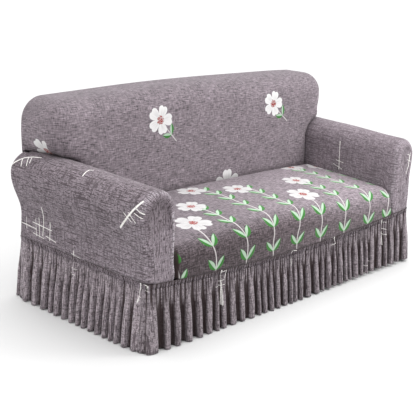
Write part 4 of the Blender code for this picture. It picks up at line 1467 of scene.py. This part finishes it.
@shared_group("Leaf Pair", (("Place", VECTOR),), ("Pale", "Green"))
def leaf_pair(tree, given):
    """Two pointed leaves that rise from the stem, pale inside and green outside."""
    x, y, _ = split(tree, given["Place"])
    beside = calc(tree, "ABSOLUTE", x)
    way = calc(tree, "MULTIPLY_ADD", beside, LEAF_OUT, calc(tree, "MULTIPLY", y, LEAF_UP))
    share = calc(tree, "DIVIDE", way, LEAF_LENGTH)
    off = calc(tree, "SUBTRACT", calc(tree, "MULTIPLY", y, LEAF_OUT),
               calc(tree, "MULTIPLY", beside, LEAF_UP))
    kept = calc(tree, "ADD", share, 0.0, clamp=True)
    arch = calc(tree, "SINE", calc(tree, "MULTIPLY", kept, math.pi))
    bend = calc(tree, "MULTIPLY_ADD", arch, LEAF_ARCH, off)
    half = calc(tree, "MULTIPLY", calc(tree, "POWER", arch, 0.85), LEAF_HALF_WIDTH)
    room = calc(tree, "SUBTRACT", half, calc(tree, "ABSOLUTE", bend))
    leaf = ramp(tree, room, 0.0, 0.0010)
    inner = calc(tree, "MULTIPLY", ramp(tree, bend, -0.0010, 0.0010),
                 ramp(tree, calc(tree, "MULTIPLY_ADD", share, -0.004, room), -0.0022, -0.0006))
    outer = calc(tree, "SUBTRACT", 1.0, inner)
    return calc(tree, "MULTIPLY", leaf, inner), calc(tree, "MULTIPLY", leaf, outer)


def table_row(tree, share, rows):
    """The three numbers, all from 0 to 1, of one row of a table; share runs through it."""
    table = put(tree, "ShaderNodeValToRGB", {}, {"Fac": share})
    table.color_ramp.interpolation = "CONSTANT"
    while len(table.color_ramp.elements) < len(rows):
        table.color_ramp.elements.new(1.0)
    for number, row in enumerate(rows):
        table.color_ramp.elements[number].position = number / len(rows)
        table.color_ramp.elements[number].color = (*row, 1.0)
    return put(tree, "ShaderNodeSeparateColor", {}, {0: table.outputs[0]}).outputs


def seat_stems(tree, place):
    """Marks of the seat's stems and their leaf pairs: (stem, pale, green)."""
    x, way, _ = split(tree, place)
    half = len(STEMS) // 2
    count = calc(tree, "DIVIDE", x, STEM_PITCH)
    number = calc(tree, "ROUND", count)
    share = calc(tree, "DIVIDE", calc(tree, "ADD", number, half + 0.5), len(STEMS))
    offsets = [stem[0] - (row - half) * STEM_PITCH for row, stem in enumerate(STEMS)]
    shape = table_row(tree, share, [(0.5 + 5 * offset, 0.5 + 5 * stem[1], stem[3] / 2)
                                    for offset, stem in zip(offsets, STEMS)])
    size = table_row(tree, share, [(stem[2] / 10, stem[4], 10 * stem[5]) for stem in STEMS])
    offset = calc(tree, "MULTIPLY_ADD", shape[0], 0.2, -0.1)
    lean = calc(tree, "MULTIPLY_ADD", shape[1], 0.2, -0.1)
    close = calc(tree, "MULTIPLY", shape[2], 2.0)
    pairs = calc(tree, "MULTIPLY", size[0], 10.0)
    sway = put(tree, "ShaderNodeTexNoise", {"noise_dimensions": "2D"},
               {"Vector": join(tree, calc(tree, "MULTIPLY", number, 3.7),
                               calc(tree, "MULTIPLY", way, 7.0)),
                "Scale": 1.0, "Detail": 0.0}).outputs["Fac"]
    sway = calc(tree, "SUBTRACT", sway, 0.5)
    leaning = calc(tree, "MULTIPLY", lean, ramp(tree, way, 0.64, 0.44))
    beside = calc(tree, "MULTIPLY", calc(tree, "SUBTRACT", count, number), STEM_PITCH)
    beside = calc(tree, "SUBTRACT", beside, calc(tree, "ADD", offset, leaning))
    beside = calc(tree, "MULTIPLY_ADD", sway, STEM_SWAY, beside)
    down = calc(tree, "SUBTRACT", calc(tree, "MULTIPLY_ADD", size[2], 0.1, LEAF_START), way)
    first, growth = LEAF_SPACING
    pair_count = calc(tree, "MULTIPLY", down, calc(tree, "MULTIPLY_ADD", down, growth, first))
    pair_count = calc(tree, "MULTIPLY", pair_count, close)
    pair_count = calc(tree, "MULTIPLY_ADD", sway, 0.15, pair_count)
    pair = calc(tree, "FLOOR", calc(tree, "ADD", pair_count, 0.10))
    pairs_in_metre = calc(tree, "MULTIPLY", calc(tree, "MULTIPLY_ADD", down, 2 * growth, first),
                          close)
    above = calc(tree, "DIVIDE", calc(tree, "SUBTRACT", pair_count, pair), pairs_in_metre)
    shown = calc(tree, "LESS_THAN", pair, calc(tree, "SUBTRACT", pairs, 0.5))
    shown = calc(tree, "MULTIPLY", shown, calc(tree, "GREATER_THAN", pair, -0.5))
    leaves = use_group(tree, leaf_pair(), {"Place": join(tree, beside, above)})
    pale = calc(tree, "MULTIPLY", leaves["Pale"], shown)
    green = calc(tree, "MULTIPLY", leaves["Green"], shown)
    line = ramp(tree, calc(tree, "ABSOLUTE", beside), *STEM_HALF_WIDTH, 1.0, 0.0)
    stem = calc(tree, "MULTIPLY", line, calc(tree, "GREATER_THAN", way, size[1]))
    return stem, pale, green


def flowers_on(tree, place, flowers):
    """Marks of the flowers at the given places: (petals, eye, shade)."""
    petals, eye, shade = 0.0, 0.0, 0.0
    for across, up, radius, turn in flowers:
        values = {"Place": place, "Centre": (across, up, 0.0), "Radius": radius, "Turn": turn,
                  "Petals Before": petals, "Eye Before": eye, "Shade Before": shade}
        result = use_group(tree, printed_flower(), values)
        petals, eye, shade = result["Petals"], result["Eye"], result["Shade"]
    return petals, eye, shade


def strokes_on(tree, place, strokes, before=0.0):
    """Marks of brushed strokes whose ends are given as places."""
    for start, end, width in strokes:
        values = {"Place": place, "Start": start, "End": end, "Width": width, "Before": before}
        before = use_group(tree, brush_stroke(), values)["Mark"]
    return before


# ---------------------------------------------------------------- materials
def new_cloth(name):
    """Material with its tree emptied down to the shader; also gives the flat place."""
    material = bpy.data.materials.new(name)
    material.use_nodes = True
    tree = material.node_tree
    shader = tree.nodes["Principled BSDF"]
    shader.inputs["Metallic"].default_value = 0.0
    shader.inputs["Specular IOR Level"].default_value = 0.25
    shader.inputs["Sheen Weight"].default_value = 0.12
    shader.inputs["Sheen Roughness"].default_value = 0.5
    place = put(tree, "ShaderNodeUVMap", {"uv_map": "cloth"}, {}).outputs[0]
    return material, tree, shader, place


def finish_cloth(tree, shader, colour, height, strength, rough=(0.86, 0.97)):
    """Joins colour, roughness and the thread relief to the shader."""
    wire(tree, shader.inputs["Base Color"], colour)
    wire(tree, shader.inputs["Roughness"], ramp(tree, height, 0.6, 1.4, rough[1], rough[0]))
    bump = put(tree, "ShaderNodeBump", {}, {"Height": height, "Strength": strength,
                                            "Distance": 0.0012})
    tree.links.new(bump.outputs[0], shader.inputs["Normal"])


def toned(tree, tone, colour, contrast):
    """Colour made lighter and darker by a tone around 0."""
    factor = calc(tree, "MAXIMUM", calc(tree, "MULTIPLY_ADD", tone, contrast, 1.0), 0.25)
    scaled = put(tree, "ShaderNodeVectorMath", {"operation": "SCALE"},
                 {0: tuple(colour), "Scale": factor})
    return scaled.outputs[0]


def smooth_ground(tree, place):
    """Colour and height of the smooth cloth without its print."""
    across, down = SMOOTH_THREADS
    slub = use_group(tree, linen_slub(), {"Place": place, "Across": across, "Down": down})
    return toned(tree, slub["Tone"], cloth_settings().smooth_colour, 1.0), slub["Height"]


def flecked_ground(tree, place, colour, across, down):
    """Colour and height of the flecked cloth without its strokes. across and down are how
    much the threads of each way show."""
    slub = use_group(tree, linen_slub(), {"Place": place, "Across": SLUB_SHARE * across,
                                          "Down": SLUB_SHARE * down})
    flecks = use_group(tree, thread_flecks(), {"Place": place, "Across": across, "Down": down})
    ground = toned(tree, slub["Tone"], colour, 1.0)
    pale = [min(1.0, part * 1.9) for part in colour]
    ground = tint(tree, calc(tree, "MULTIPLY", flecks["Pale"], 0.35), ground, pale)
    ground = tint(tree, calc(tree, "MULTIPLY", flecks["Dark"], 0.80), ground,
                  cloth_settings().fleck_colour)
    height = calc(tree, "MULTIPLY_ADD", flecks["Dark"], -0.35, slub["Height"])
    return ground, height


def dark_hollows(tree, ground, low, high, share):
    """Ground with painted shade where the cloth lies in a fold or crevice, from one share of its
    depth to another, and with a painted highlight over a rim (below 0)."""
    hollow = put(tree, "ShaderNodeAttribute", {"attribute_name": "hollow"}, {}).outputs["Fac"]
    rim = ramp(tree, calc(tree, "MULTIPLY", hollow, -1.0), 0.0, 1.0, soft=False)
    ground = shaded(tree, rim, ground, RIM_HIGHLIGHT_FACTOR)
    deep = calc(tree, "MULTIPLY", ramp(tree, hollow, low, high, soft=False), share)
    return tint(tree, deep, ground, cloth_settings().hollow_shade_colour)


def print_flowers(tree, ground, marks, stem, pale, green, bright=1.0):
    """Ground colour with stems, leaves and flowers laid over it. bright is how much paler the
    petals are painted: painted light, more on the backrest, where less light falls, than on the
    seat."""
    colours = cloth_settings()
    petals, eye, shade = marks
    ground = tint(tree, stem, ground, colours.stem_colour)
    ground = tint(tree, green, ground, colours.leaf_colour)
    ground = tint(tree, pale, ground, colours.mint_colour)
    petal = [part * bright for part in colours.petal_colour]
    ground = tint(tree, petals, ground, petal)
    dim = [part * 0.76 for part in petal]
    ground = tint(tree, calc(tree, "MULTIPLY", shade, 0.6), ground, dim)
    return tint(tree, eye, ground, colours.eye_colour)


def seat_material():
    """Smooth cloth with rows of stems that end in flowers. It is painted darker down the front and
    on its left, as painted shade, with painted shade in its gaps and painted light on its right.
    """
    material, tree, shader, place = new_cloth("cloth_smooth_seat")
    ground, height = smooth_ground(tree, place)
    x, way, _ = split(tree, place)
    # painted shade down the front: stronger on the left, and uneven with the slub
    strength = ramp(tree, x, -0.75, 0.75, 0.97, 0.64, soft=False)
    later = calc(tree, "MULTIPLY_ADD", ramp(tree, x, -0.10, 0.45), -0.055, way)
    front = calc(tree, "MULTIPLY", ramp(tree, later, 0.46, 0.565), strength)
    loose = use_group(tree, linen_slub(), {"Place": place, "Across": 1.0, "Down": 2.2})["Tone"]
    front = calc(tree, "MULTIPLY", front, ramp(tree, loose, -0.10, 0.35, 1.0, 0.72))
    # painted light on the right of the deck, painted shade on the left
    right = calc(tree, "MULTIPLY", ramp(tree, x, 0.15, 0.60), ramp(tree, way, 0.60, 0.40))
    ground = shaded(tree, right, ground, (1.18, 1.18, 1.18))
    ground = shaded(tree, ramp(tree, x, 0.02, -0.40), ground, (0.78, 0.78, 0.78))
    ground = shaded(tree, front, ground, cloth_settings().drop_shade_colour)
    stem, pale, green = seat_stems(tree, place)
    marks = flowers_on(tree, place, SEAT_FLOWERS)
    colour = print_flowers(tree, ground, marks, stem, pale, green, 0.90)
    # the print, too, gets part of the painted shade down the front
    colour = shaded(tree, calc(tree, "MULTIPLY", front, 0.28), colour,
                    cloth_settings().drop_shade_colour)
    # painted shade in the gaps beside the arms and the backrest
    colour = dark_hollows(tree, colour, *SEAT_HOLLOW, 0.98)
    finish_cloth(tree, shader, colour, height, 0.35)
    return material


def back_material():
    """Smooth cloth with single flowers, each on a short stem with two leaves, with painted shade
    over its top and in its crevices.
    """
    material, tree, shader, place = new_cloth("cloth_smooth_back")
    ground, height = smooth_ground(tree, place)
    stem, pale, green = 0.0, 0.0, 0.0
    for start, end, meet in BACK_STEMS:
        line = ((*start, 0.0), (*end, 0.0), 0.0062)
        stem = strokes_on(tree, place, [line], stem)
        local = vector_calc(tree, "SUBTRACT", place, (*meet, 0.0))
        turned = put(tree, "ShaderNodeVectorRotate", {"rotation_type": "Z_AXIS"},
                     {"Vector": local, "Angle": -0.80}).outputs[0]
        larger = vector_calc(tree, "MULTIPLY", turned, (1.25, 1.25, 1.0))
        leaves = use_group(tree, leaf_pair(), {"Place": larger})
        pale = calc(tree, "MAXIMUM", leaves["Pale"], pale)
        green = calc(tree, "MAXIMUM", leaves["Green"], green)
    marks = list(flowers_on(tree, place, BACK_FLOWERS))
    x, height_up, _ = split(tree, place)
    slope, edge = WING_FLOWER_EDGE
    beyond = calc(tree, "LESS_THAN", calc(tree, "MULTIPLY_ADD", height_up, slope, x), edge)
    for number, mark in enumerate(flowers_on(tree, place, [WING_FLOWER])):
        part = calc(tree, "MULTIPLY", mark, beyond)
        marks[number] = calc(tree, "MAXIMUM", marks[number], part)
    # the petals are painted paler here than on the seat: painted light
    colour = print_flowers(tree, ground, marks, stem, pale, green, 1.22)
    # painted shade over the top of the backrest
    colour = shaded(tree, ramp(tree, height_up, 0.80, 0.90), colour, (0.80, 0.80, 0.80))
    # painted shade where the backrest meets the arms and the seat
    colour = dark_hollows(tree, colour, *BACK_HOLLOW, 0.95)
    finish_cloth(tree, shader, colour, height, 0.35)
    return material


def flecked_material(name, colour, strokes=(), threads=(1.0, 1.0), gathered=None):
    """Flecked cloth with brushed strokes, given as groups of strokes with the view that each
    group is drawn in, or None for places on the flat cloth. threads is how much those
    across and down show. gathered is from and to which depth the cloth gets painted shade in
    its folds and crevices; with it, the cloth also gets a painted highlight on rims."""
    material, tree, shader, place = new_cloth(name)
    ground, height = flecked_ground(tree, place, colour, *threads)
    if gathered:
        # painted shade in folds and crevices, painted highlight on rims
        ground = dark_hollows(tree, ground, *gathered, 0.92)
    if strokes:
        spot = put(tree, "ShaderNodeTexCoord", {}, {}).outputs["Object"]
        shake = put(tree, "ShaderNodeTexNoise", {}, {"Vector": spot, "Scale": 160.0, "Detail": 1.0})
        shaken = vector_calc(tree, "MULTIPLY_ADD", shake.outputs["Color"], (STROKE_SHAKE,) * 3,
                             spot)
        shaken = vector_calc(tree, "SUBTRACT", shaken, (STROKE_SHAKE / 2,) * 3)
        mark = 0.0
        for view, group in strokes:
            seen = vector_calc(tree, "MULTIPLY", shaken, view) if view else place
            mark = strokes_on(tree, seen, group, mark)
        dry = ramp(tree, specks(tree, spot, (260.0, 260.0, 260.0), 1.0), 0.28, 0.45, 0.45, 1.0)
        ground = tint(tree, calc(tree, "MULTIPLY", mark, dry), ground,
                      cloth_settings().stroke_colour)
    finish_cloth(tree, shader, ground, height, 0.45)
    return material


def side_strokes(strokes, x):
    """Strokes seen along X, as (depth, height) on a sheet near x."""
    flat = x * SIDE_VIEW[0]
    return SIDE_VIEW, [((flat, *start), (flat, *end), width) for start, end, width in strokes]


def front_strokes(strokes, y):
    """Strokes seen along Y, as (across, height) on a sheet near y."""
    flat = y * FRONT_VIEW[1]
    return FRONT_VIEW, [((start[0], flat, start[1]), (end[0], flat, end[1]), width)
                        for start, end, width in strokes]


def gathered_materials(name, colour, hollow, front_marks, left_marks):
    """Flecked cloth of the heading or the skirt for each side, with its strokes; the front's is
    darker, as painted shade.
    """
    front_in_shade = [part * FRONT_SHADE_SHARE for part in colour]
    plain = flecked_material(name, colour, (), SKIRT_THREADS, hollow)
    front = flecked_material(name + "_front", front_in_shade, [front_marks], SKIRT_THREADS, FRONT_HOLLOW)
    left = flecked_material(name + "_left", colour, [left_marks], SKIRT_THREADS, SIDE_HOLLOW)
    return {"front": front, "right": plain, "back": plain, "left": left}


# ---------------------------------------------------------------- operators
class SLIPCOVER_OT_back(bpy.types.Operator):
    """Make the front and rear cloth of the backrest"""
    bl_idname = "slipcover.back"
    bl_label = "Backrest"

    def execute(self, context):
        front = make_back_front(back_material())
        settle(front, "back_inside")
        plain = flecked_material("cloth_flecked_rear", context.scene.slipcover_cloth.flecked_colour)
        rear = make_back_rear(plain)
        settle(rear, "back_outside")
        return {"FINISHED"}


class SLIPCOVER_OT_seat(bpy.types.Operator):
    """Make the cloth of the seat and its front drop"""
    bl_idname = "slipcover.seat"
    bl_label = "Seat"

    def execute(self, context):
        seat = make_seat(seat_material())
        settle(seat, "seat")
        return {"FINISHED"}


class SLIPCOVER_OT_arms(bpy.types.Operator):
    """Make the cloth round the arms and their front panels"""
    bl_idname = "slipcover.arms"
    bl_label = "Arms"

    def execute(self, context):
        colour = context.scene.slipcover_cloth.flecked_colour
        edge = front_strokes(ARM_EDGE_STROKES, -0.408)
        top_marks = (None, [((*start, 0.0), (*end, 0.0), width)
                            for start, end, width in ARM_TOP_STROKES])
        left = flecked_material("cloth_flecked_arm_left", colour,
                                [side_strokes(ARM_STROKES, -0.895), top_marks],
                                ARM_THREADS, ARM_HOLLOW)
        # painted light: the right arm gets a paler copy of the same cloth
        right_arm_lit = [part * RIGHT_ARM_LIGHT for part in colour]
        right = flecked_material("cloth_flecked_arm_right", right_arm_lit,
                                 [side_strokes(INNER_ARM_STROKES, INNER_X), edge],
                                 RIGHT_ARM_THREADS, ARM_HOLLOW)
        # painted light: a slightly paler copy of the cloth for the left front panel
        left_facing_lit = [part * LEFT_FACING_LIGHT for part in colour]
        fronts = {"left": flecked_material("cloth_flecked_facing_left", left_facing_lit, (),
                                           FACING_THREADS, ARM_HOLLOW),
                  "right": flecked_material("cloth_flecked_facing_right", colour, [edge],
                                            FACING_THREADS, ARM_HOLLOW)}
        for side, word, material in ((-1, "left", left), (1, "right", right)):
            wrap = make_arm_wrap(side, word, material)
            settle(wrap, f"arm_wrap_{word}")
            facing = make_arm_facing(side, word, fronts[word])
            settle(facing, f"arm_facing_{word}")
        return {"FINISHED"}


class SLIPCOVER_OT_headings(bpy.types.Operator):
    """Make the gathered band under the seam"""
    bl_idname = "slipcover.headings"
    bl_label = "Gathered heading"

    def execute(self, context):
        colour = context.scene.slipcover_cloth.flecked_colour
        front_marks = front_strokes(FRONT_STROKES[:FRONT_HEADING_MARKS], -0.411)
        left_marks = side_strokes(LEFT_STROKES[:LEFT_HEADING_MARKS], -0.878)
        materials = gathered_materials("cloth_heading", colour, SIDE_HOLLOW, front_marks,
                                       left_marks)
        for name, _, _ in FOLD_SIDES:
            band = make_heading(name, materials[name])
            flat = (side_path(name)[1] * HEADING_GATHER, HEADING_HEIGHT)
            settle(band, f"heading_{name}")
        return {"FINISHED"}


class SLIPCOVER_OT_skirts(bpy.types.Operator):
    """Make the gathered skirt that falls to the floor"""
    bl_idname = "slipcover.skirts"
    bl_label = "Gathered skirt"

    def execute(self, context):
        # the skirt's paler ground is painted light
        colour = context.scene.slipcover_cloth.skirt_lit_colour
        materials = gathered_materials("cloth_flecked_skirt", colour, FRONT_HOLLOW,
                                       front_strokes(FRONT_STROKES, -0.414),
                                       side_strokes(LEFT_STROKES, -0.878))
        for name, _, _ in FOLD_SIDES:
            skirt, width = make_skirt(name, materials[name])
            settle(skirt, f"skirt_{name}")
        return {"FINISHED"}


def add_area_light(name, place, target, size, power):
    """Round soft light that faces a target."""
    data = bpy.data.lights.new(name, "AREA")
    data.shape = "DISK"
    data.size = size
    data.energy = power
    light = bpy.data.objects.new(name, data)
    bpy.context.scene.collection.objects.link(light)
    light.location = place
    light.rotation_euler = (Vector(target) - Vector(place)).to_track_quat("-Z", "Y").to_euler()


class SLIPCOVER_OT_stage(bpy.types.Operator):
    """Set the camera, the soft lights and the pale floor"""
    bl_idname = "slipcover.stage"
    bl_label = "Stage"

    def execute(self, context):
        settings = context.scene.slipcover_stage
        level_share = math.cos(CAMERA_PITCH)
        forward = Vector((math.sin(CAMERA_YAW) * level_share, math.cos(CAMERA_YAW) * level_share,
                          -math.sin(CAMERA_PITCH)))
        level = Vector((math.cos(CAMERA_YAW), -math.sin(CAMERA_YAW), 0.0))
        upright = level.cross(forward)
        right = level * math.cos(CAMERA_ROLL) + upright * math.sin(CAMERA_ROLL)
        up = upright * math.cos(CAMERA_ROLL) - level * math.sin(CAMERA_ROLL)
        data = bpy.data.cameras.new("camera")
        data.lens = settings.lens
        data.sensor_width = SENSOR_WIDTH
        data.clip_end = 200.0
        camera = bpy.data.objects.new("camera", data)
        context.scene.collection.objects.link(camera)
        camera.matrix_world = Matrix((right, up, -forward)).transposed().to_4x4()
        camera.location = CAMERA_PLACE
        context.scene.camera = camera

        bpy.ops.mesh.primitive_plane_add(size=FLOOR_SIZE, location=(0.0, 0.0, 0.0))
        floor = context.view_layer.objects.active
        floor.name = "floor"
        material = bpy.data.materials.new("pale_floor")
        material.use_nodes = True
        shader = material.node_tree.nodes["Principled BSDF"]
        shader.inputs["Base Color"].default_value = (*settings.floor_colour, 1.0)
        shader.inputs["Roughness"].default_value = 0.95
        shader.inputs["Specular IOR Level"].default_value = 0.1
        floor.data.materials.append(material)

        world = bpy.data.worlds.new("surround")
        world.use_nodes = True
        tree = world.node_tree
        upwards = split(tree, put(tree, "ShaderNodeTexCoord", {}, {}).outputs["Generated"])[2]
        above = calc(tree, "POWER", calc(tree, "MAXIMUM", upwards, 0.0), 2.0)
        strength = calc(tree, "MULTIPLY_ADD", above, settings.top_light, settings.level_light)
        wire(tree, tree.nodes["Background"].inputs["Color"], (1.0, 1.0, 1.0, 1.0))
        wire(tree, tree.nodes["Background"].inputs["Strength"], strength)
        context.scene.world = world
        context.scene.view_settings.view_transform = "Standard"
        add_area_light("key", KEY_PLACE, KEY_TARGET, KEY_SIZE, settings.key_power)
        return {"FINISHED"}


class SLIPCOVER_PT_panel(bpy.types.Panel):
    """Settings and buttons of the slipcover"""
    bl_label = "Slipcover"
    bl_idname = "SLIPCOVER_PT_panel"
    bl_space_type = "VIEW_3D"
    bl_region_type = "UI"
    bl_category = "Slipcover"

    def draw(self, context):
        for group in ("slipcover_cloth", "slipcover_folds", "slipcover_stage"):
            settings = getattr(context.scene, group)
            box = self.layout.box()
            for name in settings.__annotations__:
                box.prop(settings, name)
        for operator in OPERATORS:
            self.layout.operator(operator.bl_idname)


OPERATORS = (SLIPCOVER_OT_stage, SLIPCOVER_OT_arms, SLIPCOVER_OT_seat, SLIPCOVER_OT_back,
             SLIPCOVER_OT_headings, SLIPCOVER_OT_skirts)
SETTINGS = (("slipcover_cloth", ClothSettings), ("slipcover_folds", FoldSettings),
            ("slipcover_stage", StageSettings))


def register():
    for name, group in SETTINGS:
        bpy.utils.register_class(group)
        setattr(bpy.types.Scene, name, PointerProperty(type=group))
    for item in OPERATORS + (SLIPCOVER_PT_panel,):
        bpy.utils.register_class(item)


def unregister():
    for item in reversed(OPERATORS + (SLIPCOVER_PT_panel,)):
        bpy.utils.unregister_class(item)
    for name, group in reversed(SETTINGS):
        delattr(bpy.types.Scene, name)
        bpy.utils.unregister_class(group)


def main():
    register()
    bpy.ops.slipcover.stage()
    bpy.ops.slipcover.arms()
    bpy.ops.slipcover.seat()
    bpy.ops.slipcover.back()
    bpy.ops.slipcover.headings()
    bpy.ops.slipcover.skirts()


if __name__ == "__main__":
    main()
